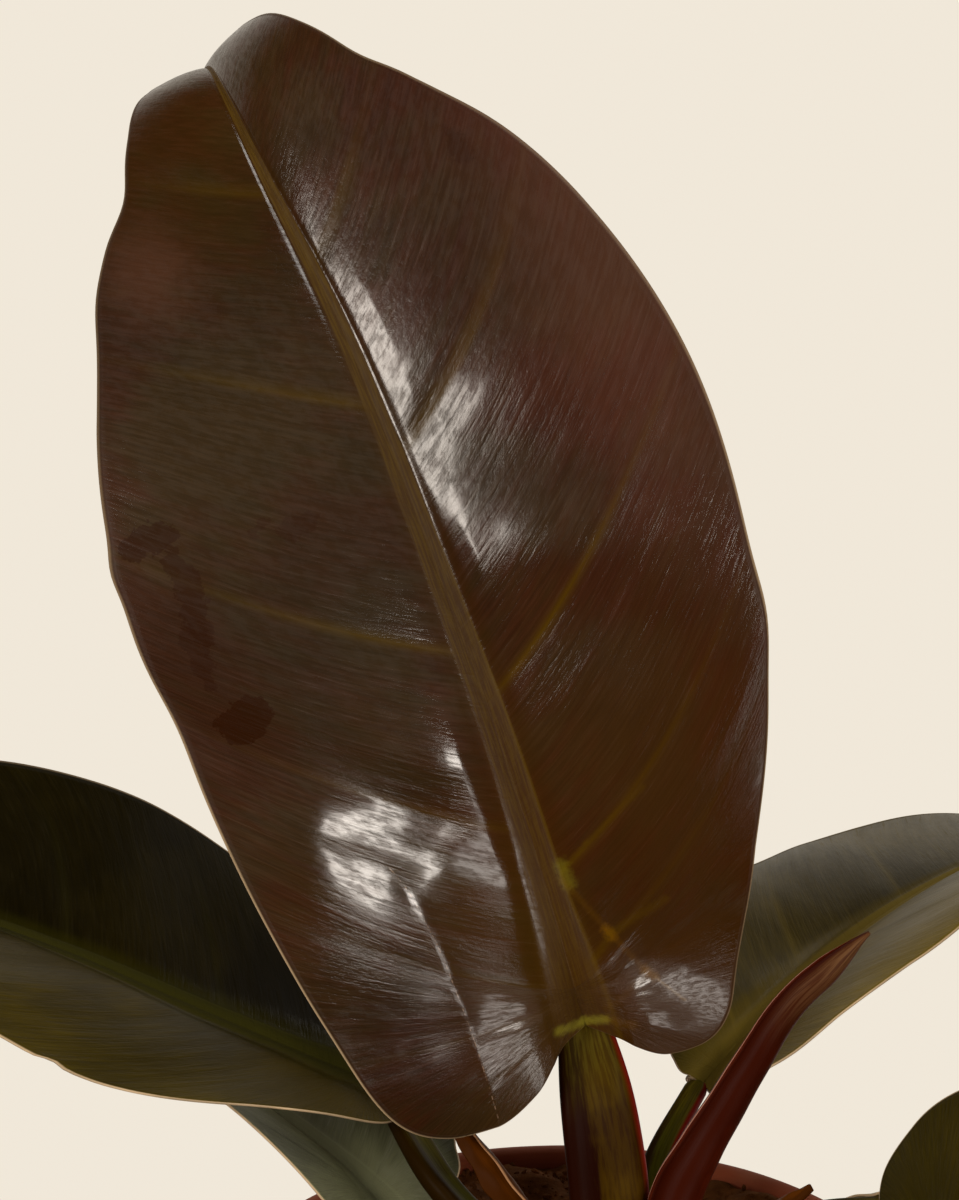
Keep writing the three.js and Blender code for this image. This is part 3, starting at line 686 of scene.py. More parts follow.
def specks(name):
    """Tiny separate specks, such as dust or grit."""
    graph, given = shader_group(
        name,
        [("Spacing", "Float", 0.01), ("Size", "Float", 0.06), ("Share", "Float", 0.3)],
        [("Mask", "Float")],
    )
    place = graph.object_place()
    scale = graph.math("DIVIDE", 1.0, given["Spacing"])
    cells = graph.add("ShaderNodeTexVoronoi", {"Vector": place, "Scale": scale})
    near = graph.math("LESS_THAN", cells.outputs["Distance"], given["Size"])
    pick = graph.math("LESS_THAN", graph.separate(cells.outputs["Color"])[0], given["Share"])
    graph.finish(mask=graph.times(near, pick))
    return graph.tree


def vein_noise(graph, vein, signed, fineness, stretch, roughness=0.65):
    """Noise drawn out along the side veins."""
    place = graph.combine(graph.times(vein, fineness), graph.times(signed, stretch))
    return graph.noise(place, 1.0, 3.0, roughness)


def leaf_skin(name):
    """Veined upper or lower face of a blade, from its vein_map and leaf_plane coordinates."""
    graph, given = shader_group(
        name,
        [("Blade", "Color", (0.1, 0.1, 0.1, 1)), ("Patches", "Color", (0.1, 0.1, 0.1, 1)),
         ("Veins", "Color", (0.2, 0.2, 0.1, 1)), ("Midrib", "Color", (0.2, 0.2, 0.1, 1)),
         ("Edge", "Color", (0.7, 0.6, 0.4, 1)), ("Side veins", "Float", 0.0), ("Length", "Float", 0.2),
         ("Rib width", "Float", 0.004), ("Fineness", "Float", 560.0), ("Gloss", "Float", 0.3)],
        [("Colour", "Color"), ("Roughness", "Float"), ("Height", "Float"), ("Coat", "Float")],
    )
    plane = graph.separate(graph.uv("leaf_plane"))
    across, vein, _ = graph.separate(graph.uv("vein_map"))
    signed = graph.math("MULTIPLY_ADD", across, 2.0, -1.0)
    out = graph.math("ABSOLUTE", signed)
    off = graph.math("ABSOLUTE", plane[0])
    share = graph.math("DIVIDE", plane[1], given["Length"])

    # Fine and wide lines that run with the side veins, and shorter creases.
    fine = vein_noise(graph, vein, signed, given["Fineness"], 5.0)
    wide = vein_noise(graph, vein, signed, graph.times(given["Fineness"], 0.18), 2.5, 0.6)
    crepe = vein_noise(graph, vein, signed, graph.times(given["Fineness"], 0.36), 17.0)

    # Warm and cool patches, drawn out along the veins.
    object_place = graph.object_place()
    cloud = graph.noise(object_place, 26.0, 3.0, 0.55)
    drift = graph.math("ADD", graph.times(cloud, 0.7), graph.times(wide, 0.3))
    patches = graph.fade(drift, 0.42, 0.6)
    skin = graph.blend(patches, given["Blade"], given["Patches"])
    blotches = graph.fade(graph.noise(object_place, 15.0, 4.0, 0.6), 0.34, 0.66, 0.76, 1.14)
    tone = graph.times(graph.fade(fine, 0.3, 0.72, 0.8, 1.2), blotches)
    skin = graph.add(
        "ShaderNodeMix", {0: 1.0, 6: skin, 7: graph.combine(tone, tone, tone)},
        data_type="RGBA", blend_type="MULTIPLY",
    ).outputs[2]

    # Side veins fade toward the margin, and a paler zone lies along the midrib.
    side_vein = graph.times(given["Side veins"], graph.fade(out, 0.25, 1.0, 0.75, 0.12))
    skin = graph.blend(side_vein, skin, given["Veins"])
    taper = graph.math("POWER", graph.math("SUBTRACT", 1.0, share), RIB_TAPER)
    taper = graph.math("ADD", taper, graph.fade(share, FLARE_REACH, 0.0, 0.0, RIB_FLARE))
    half_width = graph.math("MULTIPLY_ADD", given["Rib width"], taper, RIB_TIP * MM)
    ratio = graph.math("DIVIDE", off, half_width)
    near_rib = graph.fade(ratio, 1.0, 2.6, 0.4, 0.0)
    skin = graph.blend(near_rib, skin, given["Midrib"])
    rib_inner = graph.fade(share, 0.0, 0.35, 0.45, 0.8)
    rib_outer = graph.fade(share, 0.0, 0.35, 1.4, 1.15)
    rib = graph.fade(ratio, rib_inner, rib_outer, 1.0, 0.0)
    right_ratio = graph.math("DIVIDE", plane[0], half_width)
    rib_edge = graph.fade(graph.math("ABSOLUTE", graph.math("SUBTRACT", right_ratio, 0.95)), 0.16, 0.0)
    rib_edge = graph.times(rib_edge, graph.fade(share, 0.6, 0.2, 0.25, 0.8))
    fibre_place = graph.combine(
        graph.times(plane[0], 2600.0), graph.times(plane[1], 130.0)
    )
    rib_fibres = graph.noise(fibre_place, 1.0, 3.0)
    paler_fibres = graph.fade(rib_fibres, 0.4, 0.62, 0.0, 0.6)
    shine = graph.math("ADD", paler_fibres, graph.fade(share, 0.3, 0.8, 0.0, 0.35))
    rib_colour = graph.blend(shine, given["Midrib"], given["Veins"])
    skin = graph.blend(graph.times(rib, 0.85), skin, rib_colour)
    skin = graph.blend(rib_edge, skin, given["Veins"])
    # A thin pale line along the margin, stronger toward the base: partly the margin's own paler colour,
    # partly painted glow of light coming through it.
    edge = graph.times(graph.fade(out, 0.988, 0.998), graph.fade(share, 0.7, 0.2, 0.25, 0.65))
    skin = graph.blend(edge, skin, given["Edge"])

    gloss = graph.math("MULTIPLY_ADD", graph.math("SUBTRACT", wide, 0.5), 0.14, given["Gloss"])
    gloss = graph.math("MULTIPLY_ADD", graph.fade(fine, 0.55, 0.7), 0.12, gloss)
    gloss = graph.math("MULTIPLY_ADD", rib, 0.42, gloss)
    height = graph.times(graph.math("SUBTRACT", fine, 0.5), 0.07)
    height = graph.math("MULTIPLY_ADD", graph.math("SUBTRACT", wide, 0.5), 0.16, height)
    height = graph.math("MULTIPLY_ADD", graph.math("SUBTRACT", crepe, 0.5), 0.07, height)
    height = graph.math("MULTIPLY_ADD", side_vein, -0.06, height)
    pores = graph.noise(object_place, 3600.0, 2.0, 0.6)
    height = graph.math("MULTIPLY_ADD", pores, 0.018, height)
    height = graph.math("MULTIPLY_ADD", graph.times(rib, rib_fibres), 0.05, height)
    wax = graph.math("ADD", graph.times(crepe, 0.6), graph.times(fine, 0.4))
    coat = graph.times(
        graph.math("SUBTRACT", 1.0, rib), graph.fade(wax, 0.42, 0.58, 0.15, 1.0),
        graph.fade(share, 0.97, 0.85), graph.fade(out, 0.985, 0.965),
    )
    gloss = graph.math("MULTIPLY_ADD", graph.fade(out, 0.965, 0.985), 0.35, gloss)
    graph.finish(colour=skin, roughness=gloss, height=height, coat=coat)
    return graph.tree


def stalk_skin(name):
    """Smooth skin of a stalk, rolled leaf or sheath, from its skin_place attribute.

    skin_place holds the sideways place from -1 to 1, the facing from -1 to 1 and the share along.
    """
    graph, given = shader_group(
        name,
        [("Middle", "Color", (0.2, 0.2, 0.1, 1)), ("Shade", "Color", (0.1, 0.05, 0.02, 1)),
         ("Edge", "Color", (0.3, 0.05, 0.03, 1)), ("Top", "Color", (0.3, 0.3, 0.1, 1)),
         ("Edge start", "Float", 0.75), ("Streaks", "Float", 9.0)],
        [("Colour", "Color"), ("Height", "Float")],
    )
    place = graph.add("ShaderNodeAttribute", attribute_name="skin_place").outputs["Vector"]
    sideways, facing, along = graph.separate(place)
    streak_place = graph.combine(
        graph.times(sideways, given["Streaks"]),
        graph.times(facing, given["Streaks"]),
        graph.times(along, 7.0),
    )
    streaks = graph.noise(streak_place, 1.0, 4.0, 0.6)
    object_place = graph.object_place()
    blotches = graph.noise(object_place, 70.0, 3.0, 0.55)
    shade = graph.fade(sideways, -0.15, -0.55)
    shade = graph.math("MULTIPLY_ADD", graph.fade(streaks, 0.42, 0.62), 0.34, shade)
    shade = graph.math("MULTIPLY_ADD", graph.fade(blotches, 0.42, 0.6), 0.42, shade)
    shade = graph.add("ShaderNodeClamp", {0: shade}).outputs[0]
    skin = graph.blend(shade, given["Middle"], given["Shade"])
    dusky = graph.fade(sideways, 0.3, 0.8, 0.0, 0.4)
    skin = graph.blend(dusky, skin, given["Shade"])
    edge = graph.fade(sideways, given["Edge start"], 0.97)
    skin = graph.blend(edge, skin, given["Edge"])
    top = graph.times(graph.fade(along, 0.62, 0.95, 0.0, 0.8), graph.fade(facing, 0.3, 0.9))
    top = graph.times(top, graph.fade(streaks, 0.6, 0.4, 0.3, 1.0))
    skin = graph.blend(top, skin, given["Top"])
    height = graph.times(graph.math("SUBTRACT", streaks, 0.5), 0.05)
    height = graph.math("MULTIPLY_ADD", graph.noise(object_place, 900.0, 2.0), 0.012, height)
    graph.finish(colour=skin, height=height)
    return graph.tree


def patch(name):
    """A patch round a place in the leaf plane, with a hard and ragged or a soft edge."""
    graph, given = shader_group(
        name,
        [("Place", "Vector", (0, 0, 0)), ("Size", "Vector", (0.01, 0.01, 1)), ("Softness", "Float", 0.1)],
        [("Mask", "Float")],
    )
    plane = graph.uv("leaf_plane")
    ragged = graph.noise(plane, 220.0, 5.0, 0.65, colour=True)
    shift = graph.scaled(graph.vector("SUBTRACT", ragged, (0.5, 0.5, 0.5)), 0.01)
    shifted = graph.vector("ADD", plane, shift)
    from_place = graph.vector("DIVIDE", graph.vector("SUBTRACT", shifted, given["Place"]), given["Size"])
    away = graph.vector("LENGTH", from_place)
    start = graph.math("ADD", 1.0, given["Softness"])
    end = graph.math("SUBTRACT", 1.0, given["Softness"])
    graph.finish(mask=graph.fade(away, start, end))
    return graph.tree


def drawn_line(name):
    """A soft line between two places in the leaf plane."""
    graph, given = shader_group(
        name,
        [("Start", "Vector", (0, 0, 0)), ("Run", "Vector", (0.01, 0, 0)), ("Width", "Float", 0.001)],
        [("Mask", "Float")],
    )
    plane = graph.uv("leaf_plane")
    gap = graph.vector("SUBTRACT", plane, given["Start"])
    share = graph.math(
        "DIVIDE", graph.vector("DOT_PRODUCT", gap, given["Run"]),
        graph.vector("DOT_PRODUCT", given["Run"], given["Run"]),
    )
    share = graph.add("ShaderNodeClamp", {0: share}).outputs[0]
    away = graph.vector("LENGTH", graph.vector("SUBTRACT", gap, graph.scaled(given["Run"], share)))
    ragged = graph.math("SUBTRACT", graph.noise(plane, 1100.0, 3.0, 0.6), 0.5)
    away = graph.math("MULTIPLY_ADD", ragged, given["Width"], away)
    graph.finish(mask=graph.fade(away, given["Width"], 0.0))
    return graph.tree


def new_material(name):
    """A material with its Principled node, and the graph to finish it with."""
    material = bpy.data.materials.new(name)
    material.use_nodes = True
    graph = Graph(material.node_tree)
    shader = material.node_tree.nodes["Principled BSDF"]
    return material, graph, shader


def bump(graph, shader, height):
    """Raises the surface by a height in millimetres."""
    node = graph.add("ShaderNodeBump", {"Strength": 1.0, "Distance": MM, "Height": height})
    graph.put(shader.inputs["Normal"], node.outputs[0])


def vein_ramp(graph, position, veins, width):
    """Mask of the side veins, from their places round the margin and their strengths."""
    node = graph.add("ShaderNodeValToRGB", {0: position})
    ramp = node.color_ramp
    ramp.elements.remove(ramp.elements[0])
    ramp.elements[0].position = 0
    ramp.elements[0].color = (0, 0, 0, 1)
    for place, strength in veins:
        for shift, level in ((-width, 0), (0, strength), (width, 0)):
            ramp.elements.new(place + shift).color = (level, level, level, 1)
    return node.outputs[0]


# Patches of the large leaf: place and half size in its own plane in mm, softness, colour, strength.
# The amber patches are painted light coming through the leaf, and the bloom patches painted sheen.
PATCHES = [
    ((-26, 118), (30, 62), 0.8, "moss", 0.6),
    ((50, 128), (20, 66), 0.8, "maroon", 0.5),
    # Painted light coming through the leaf, in amber.
    ((34, 26), (34, 46), 0.7, "backlit_amber", 0.8),
    ((18, 0), (30, 16), 0.5, "backlit_amber", 0.6),
    ((-12, 16), (14, 30), 0.7, "olive", 0.35),
    ((-18, 205), (24, 30), 0.7, "olive", 0.25),
    ((-51, 121), (6, 3.4), 0.05, "stain", 0.65),
    ((-47, 108), (2.6, 11), 0.06, "stain", 0.55),
    ((-49, 97), (3, 7), 0.06, "stain", 0.55),
    ((-45.5, 82), (5.6, 4.6), 0.04, "stain", 0.75),
    ((-22.5, 113.5), (4.6, 2.2), 0.1, "stain", 0.4),
    ((-30, 116), (1.6, 1.4), 0.1, "stain", 0.35),
    ((37, 168), (1.8, 4), 0.3, "stain", 0.6),
    # Painted sheen near the right margin and on the left shoulder.
    ((54, 140), (13, 46), 0.9, "bloom", 0.34),
    ((-30, 176), (8, 10), 0.8, "bloom", 0.36),
]

# Half width of a side vein, as a share of the way round the margin.
VEIN_WIDTH = 0.0055

# Veins that meet in the right lobe, and the joint: both ends and the half width in the leaf's own plane
# in mm, colour and strength.
LINES = [
    ((3.6, 32.5), (10.3, 37.2), 1, "olive", 0.3), ((10.3, 37.2), (24, 45), 1, "olive", 0.2),
    ((4.2, 34), (4.6, 30), 2.4, "joint", 0.32), ((3.5, 31), (9.6, 18.5), 1.2, "ochre", 0.14),
    ((9.2, 19), (9.8, 17.8), 1.8, "ochre", 0.6), ((9.7, 18.2), (22, 22.4), 1.5, "olive", 0.25),
    ((9.7, 18.2), (5, 13.5), 1.2, "olive", 0.25), ((5, 13.5), (4, 9), 1.2, "olive", 0.12),
    ((9.7, 18.2), (14.7, 9), 1.1, "ochre", 0.15), ((14.4, 9.4), (15.8, 7.9), 1.6, "ochre", 0.4),
    ((14.7, 9), (5, 4), 1.3, "ochre", 0.08), ((16, 7.6), (20.5, 1), 0.5, "edge", 0.12),
    ((-5.8, 2.4), (-0.5, 1), 1.6, "joint", 0.6), ((-0.5, 1), (4.2, 1.4), 1.6, "joint", 0.65),
    ((4.5, 1.4), (9, -0.2), 1.8, "ochre", 0.2),
]


def lighter(tone, factor):
    """A colour with each channel multiplied, so a factor below 1 darkens it."""
    return [channel * factor for channel in tone]


@dataclass
class Skin:
    """Colours and finish of one face of a blade. shown is the strength of its side veins."""

    blade: tuple
    patches: tuple
    veins: tuple
    midrib: tuple
    shown: float
    gloss: float
    coat: float = 0.0
    ior: float = 1.3


def upper_skin(settings, tone):
    bronze, dark, green, blue = settings.bronze, settings.dark_green, settings.grey_green, settings.blue_green
    if tone == "bronze":
        return Skin(bronze, settings.bronze_red, settings.olive, settings.midrib, 1.0, 0.16, coat=0.65)
    if tone == "dark":
        return Skin(dark, lighter(dark, 1.5), settings.green_rib, settings.green_rib, 0.3, 0.34, ior=1.22)
    if tone == "green":
        return Skin(green, lighter(green, 0.7), lighter(green, 1.5), lighter(green, 1.4), 0.5, 0.38, ior=1.24)
    return Skin(blue, lighter(blue, 0.7), lighter(blue, 1.4), lighter(blue, 1.3), 0.4, 0.34, coat=0.1)


def under_skin(settings, tone):
    upper = upper_skin(settings, tone)
    below = settings.underside if tone in ("bronze", "dark") else lighter(upper.blade, 0.8)
    return Skin(below, lighter(below, 0.75), lighter(below, 1.4), lighter(below, 1.3), upper.shown, 0.5)


def large_leaf_marks(graph, tone, settings):
    """The large leaf's colour with its patches, among them painted light through the leaf and painted sheen,
    its drawn lines and worn fold line.
    """
    for (x, y), (wide, tall), softness, colour_name, strength in PATCHES:
        place, size = (x * MM, y * MM, 0), (wide * MM, tall * MM, 1)
        mask = use_group(graph, "patch", patch, place=place, size=size, softness=softness)["Mask"]
        paint = getattr(settings, colour_name)
        if colour_name != "stain":
            paint = graph.blend(0.45, paint, tone)
        tone = graph.blend(graph.times(mask, strength), tone, paint)
    for start, end, wide, colour_name, strength in LINES:
        run = [(b - a) * MM for a, b in zip(start, end)]
        mask = use_group(
            graph, "drawn line", drawn_line,
            start=(start[0] * MM, start[1] * MM, 0), run=(*run, 0), width=wide * MM,
        )["Mask"]
        tone = graph.blend(graph.times(mask, strength), tone, getattr(settings, colour_name))
    fold = graph.add("ShaderNodeAttribute", attribute_name="fold_line").outputs["Fac"]
    on_fold = graph.fade(graph.math("ABSOLUTE", fold), 0.18, 0.04)
    dots = graph.fade(graph.noise(graph.object_place(), 1300.0, 3.0), 0.45, 0.62)
    return graph.blend(graph.times(on_fold, dots, 0.5), tone, srgb(176, 144, 118))


def leaf_material(name, settings, leaf, spine_length, side, seed):
    """Skin of one face of a leaf. side is upper or under."""
    material, graph, shader = new_material(name)
    look = upper_skin(settings, leaf.tone) if side == "upper" else under_skin(settings, leaf.tone)
    across, vein, _ = graph.separate(graph.uv("vein_map"))
    left, right = side_veins(leaf, seed)
    left_mask = vein_ramp(graph, vein, left, VEIN_WIDTH)
    right_mask = vein_ramp(graph, vein, right, VEIN_WIDTH)
    on_right = graph.math("GREATER_THAN", across, 0.5)
    vein_mask = graph.separate(graph.blend(on_right, left_mask, right_mask))[0]
    vein_mask = graph.times(graph.math("POWER", vein_mask, 1.8), look.shown)
    blade, patches = look.blade, look.patches
    # Painted light and shade, with each half's own tint: one half's colours are made lighter or darker by the
    # leaf's halves factors.
    if side == "upper" and leaf.halves != (1, 1):
        blade, patches = (
            graph.blend(on_right, lighter(tone, leaf.halves[0]), lighter(tone, leaf.halves[1]))
            for tone in (blade, patches)
        )
    skin = use_group(
        graph, "leaf skin", leaf_skin,
        blade=blade, patches=patches, veins=look.veins, midrib=look.midrib, edge=settings.edge,
        side_veins=vein_mask, length=spine_length * MM, rib_width=leaf.rib[0] * MM, gloss=look.gloss,
    )
    tone = skin["Colour"]
    if leaf.veins and side == "upper":
        tone = large_leaf_marks(graph, tone, settings)
    dust = use_group(graph, "specks", specks, spacing=0.011, size=0.022, share=0.35)["Mask"]
    graph.put(shader.inputs["Base Color"], graph.blend(dust, tone, srgb(200, 190, 170)))
    graph.put(shader.inputs["Roughness"], skin["Roughness"])
    shader.inputs["IOR"].default_value = look.ior
    graph.put(shader.inputs["Coat Weight"], graph.times(skin["Coat"], look.coat))
    shader.inputs["Coat Roughness"].default_value = 0.11
    bump(graph, shader, skin["Height"])
    return material


def margin_material(settings):
    """Thin pale edge of the blades: partly their own paler colour, partly painted glow of light coming
    through them.
    """
    material, graph, shader = new_material("pale_margin")
    tone = use_group(
        graph, "mottling", mottling, first=settings.edge, second=lighter(settings.edge, 0.55), scale=60.0
    )
    graph.put(shader.inputs["Base Color"], tone["Colour"])
    shader.inputs["Roughness"].default_value = 0.45
    return material


def stalk_material(name, middle, shade, edge, top, streaks=9.0, edge_start=0.75, gloss=0.45):
    material, graph, shader = new_material(name)
    skin = use_group(
        graph, "stalk skin", stalk_skin,
        middle=middle, shade=shade, edge=edge, top=top, streaks=streaks, edge_start=edge_start,
    )
    dust = use_group(graph, "specks", specks, spacing=0.006, size=0.03, share=0.25)["Mask"]
    graph.put(shader.inputs["Base Color"], graph.blend(dust, skin["Colour"], lighter(middle, 2.2)))
    shader.inputs["Roughness"].default_value = gloss
    shader.inputs["IOR"].default_value = 1.12
    bump(graph, shader, skin["Height"])
    return material


def clay_material(settings):
    """Fired clay: warm patches, chalky bloom and fine turning lines."""
    material, graph, shader = new_material("fired_clay")
    tone = use_group(
        graph, "mottling", mottling,
        first=settings.clay, second=lighter(settings.clay, 0.72), scale=24.0, contrast=0.22,
    )["Colour"]
    place = graph.object_place()
    bloom = graph.fade(graph.noise(place, 40.0, 3.0, 0.55), 0.5, 0.8, 0.0, 0.3)
    tone = graph.blend(bloom, tone, srgb(205, 160, 130))
    grit = use_group(graph, "specks", specks, spacing=0.0035, size=0.12, share=0.25)["Mask"]
    tone = graph.blend(graph.times(grit, 0.6), tone, lighter(settings.clay, 0.4))
    graph.put(shader.inputs["Base Color"], tone)
    shader.inputs["Roughness"].default_value = 0.85
    height = graph.separate(place)[2]
    rings = graph.noise(graph.combine(z=height), 900.0, 2.0)
    grain = graph.noise(place, 1400.0, 4.0, 0.65)
    relief = graph.times(grain, 0.09)
    relief = graph.math("MULTIPLY_ADD", rings, 0.07, relief)
    relief = graph.math("MULTIPLY_ADD", grit, -0.12, relief)
    bump(graph, shader, relief)
    return material


def soil_material(settings):
    material, graph, shader = new_material("moist_soil")
    tone = use_group(
        graph, "mottling", mottling,
        first=settings.colour, second=lighter(settings.colour, 0.5), scale=260.0, contrast=0.25,
    )["Colour"]
    fibre = use_group(graph, "specks", specks, spacing=0.003, size=0.2, share=0.1)["Mask"]
    tone = graph.blend(graph.times(fibre, 0.6), tone, srgb(120, 84, 50))
    graph.put(shader.inputs["Base Color"], tone)
    shader.inputs["Roughness"].default_value = 0.9
    shader.inputs["IOR"].default_value = 1.15
    place = graph.object_place()
    bump(graph, shader, graph.times(graph.noise(place, 700.0, 5.0, 0.7), 0.5))
    return material


def stem_material(settings):
    material, graph, shader = new_material("ringed_stem")
    tone = use_group(
        graph, "mottling", mottling, first=settings.brown, second=settings.olive, scale=90.0
    )["Colour"]
    graph.put(shader.inputs["Base Color"], tone)
    shader.inputs["Roughness"].default_value = 0.7
    place = graph.object_place()
    bump(graph, shader, graph.times(graph.noise(place, 500.0, 4.0), 0.3))
    return material


# Meshes


def new_object(name, points, faces, edges=()):
    """A mesh object at the origin from points in mm."""
    mesh = bpy.data.meshes.new(name)
    mesh.from_pydata((np.asarray(points) * MM).tolist(), list(edges), faces)
    piece = bpy.data.objects.new(name, mesh)
    bpy.context.collection.objects.link(piece)
    return piece


def store(mesh, name, kind, values, domain="POINT"):
    """Adds an attribute with a value for each element."""
    attribute = mesh.attributes.new(name, kind, domain)
    field_name = "value" if kind == "FLOAT" else "vector"
    attribute.data.foreach_set(field_name, np.asarray(values, np.float32).ravel())


def store_uv(mesh, name, values):
    """Adds a UV map from a pair of values for each vertex."""
    corners = np.empty(len(mesh.loops), np.int32)
    mesh.loops.foreach_get("vertex_index", corners)
    layer = mesh.uv_layers.new(name=name)
    layer.uv.foreach_set("vector", np.asarray(values, np.float32)[corners].ravel())


def settle(piece, node):
    """Hands a finished piece to the frame in place of a CAD node."""
    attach(piece, BODY)
    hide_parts(node)


def edge_points(outline, leaf, length_mm, rows):
    scaled = [(x * leaf.half, y * length_mm) for x, y in outline]
    return smooth_curve(scaled, rows + 1)


def vein_origins(edges, rows, length_mm):
    """Where on the midrib each row of a blade starts."""
    mean = (edges[0] + edges[1]) / 2
    forward = mean[:, 1] - VEIN_LEAN * mean[:, 0]
    start = VEIN_SOFTNESS * np.log1p(np.exp(forward / VEIN_SOFTNESS))
    origin = np.zeros(rows + 1)
    for i in range(1, rows + 1):
        origin[i] = min(max(origin[i - 1] + VEIN_SPREAD / rows, start[i]), length_mm)
    return origin


def side_veins(leaf, seed):
    """Side veins of the two halves: place round the margin, from base to tip, and strength."""
    if leaf.veins:
        return leaf.veins
    count = 9
    halves = []
    for half in (0, 1):
        draw = np.random.default_rng(2 * seed + half)
        steps = (np.arange(count) + 0.7 + draw.uniform(-0.15, 0.15, count)) / (count + 0.4)
        halves.append([(float(place), float(draw.uniform(0.55, 1))) for place in steps])
    return halves


def panels(veins, vein):
    """Bulge of the blade between its side veins, from 0 on a vein to 1 halfway."""
    places = np.array([0, *(place for place, _ in veins), 1])
    depth = np.array([0, *(strength for _, strength in veins), 0])
    index = np.clip(np.searchsorted(places, vein, side="right") - 1, 0, len(places) - 2)
    share = (vein - places[index]) / (places[index + 1] - places[index])
    strength = depth[index] * (1 - share) + depth[index + 1] * share
    return strength * np.abs(np.sin(math.pi * share)) ** 0.8


def swells(vein, out, side, seed):
    """Soft ridges and hollows that run with the side veins, from -1 to 1."""
    draw = np.random.default_rng(seed + (10 if side > 0 else 0))
    height = np.zeros(np.broadcast(vein, out).shape)
    for waves in (7, 11, 17, 26, 41):
        start, bend, weight = draw.uniform(0, 2 * math.pi), draw.uniform(-2, 2), draw.uniform(0.5, 1)
        height += weight * np.sin(2 * math.pi * waves * vein + start + bend * out) * (9 / (waves + 9))
    return height * np.sin(math.pi * np.clip(out, 0, 1) ** 0.7)


def rib_profile(leaf, off, share, groove):
    """Height of the midrib's flat band and the grooves beside it, in mm."""
    flare = RIB_FLARE * soft_step(1 - share / FLARE_REACH)
    half = leaf.rib[0] * (np.clip(1 - share, 0, 1) ** RIB_TAPER + flare) + RIB_TIP
    ratio = np.abs(off) / half
    band = np.clip(1 - ratio**4, 0, 1)
    hollow = np.exp(-(((ratio - 1.15) / 0.45) ** 2))
    return groove * (half / (leaf.rib[0] + RIB_TIP)) ** 0.5 * (0.35 * band - hollow)


# Fold line of the large leaf's left half, as (off the midrib, along it) in mm.
CREASE = [(-56, 88), (-46, 66), (-36, 53), (-28, 44), (-24.5, 30), (-23.4, 18), (-22.7, 6), (-22, -16)]

# The ridge on it rises by RIDGE_RISE mm and keeps all but RIDGE_FALL of that past the line. The blade
# beyond the line's upper part rises by HOLLOW_RISE mm. Both change over about CREASE_REACH mm. The ridge
# starts CREASE_TURN mm along the leaf and takes over from the hollow in the CREASE_BLEND mm below it.
RIDGE_RISE = 2.4
RIDGE_FALL = 0.35
HOLLOW_RISE = 1.6
CREASE_REACH = 12
CREASE_TURN = 56
CREASE_BLEND = 18

# The worn fold line shows below this distance along the leaf. Elsewhere its distance reads FAR_OFF, in mm.
FOLD_TOP = 46
FAR_OFF = 9


def beyond_crease(off, along):
    """Distance past the fold line, in mm, negative on the midrib's side."""
    line = smooth_curve(CREASE, 80)
    gap = np.stack([off, along], -1)[..., None, :] - line
    nearest = (gap**2).sum(-1).argmin(-1)
    direction = np.gradient(line, axis=0)[nearest]
    away = np.take_along_axis(gap, nearest[..., None, None], -2)[..., 0, :]
    beyond = direction[..., 0] * away[..., 1] - direction[..., 1] * away[..., 0]
    return -beyond / np.linalg.norm(direction, axis=-1)


def crease_height(off, along):
    """Ridge along the lower part of the fold line, and a hollow before it higher up, in mm."""
    beyond = beyond_crease(off, along)
    before, past = np.maximum(-beyond, 0), 1 - np.exp(-np.maximum(beyond, 0) / CREASE_REACH)
    ridge = RIDGE_RISE * np.exp(-before / CREASE_REACH) * (1 - RIDGE_FALL * past)
    low = soft_step((CREASE_TURN - along) / CREASE_BLEND)
    return low * ridge + (1 - low) * HOLLOW_RISE * past


def margin_shift(leaf, vein, half, seed):
    """How far the margin lies outside its smooth outline, in mm."""
    if leaf.nudges:
        bumps = leaf.nudges[half]
        return sum(rise * np.exp(-(((vein - place) / wide) ** 2)) for place, wide, rise in bumps)
    draw = np.random.default_rng(50 + 2 * seed + half)
    waves = [draw.uniform(0.1, 0.35) * np.sin(vein * k + draw.uniform(0, 6)) for k in (19, 34, 57)]
    return sum(waves) * np.sin(math.pi * vein)


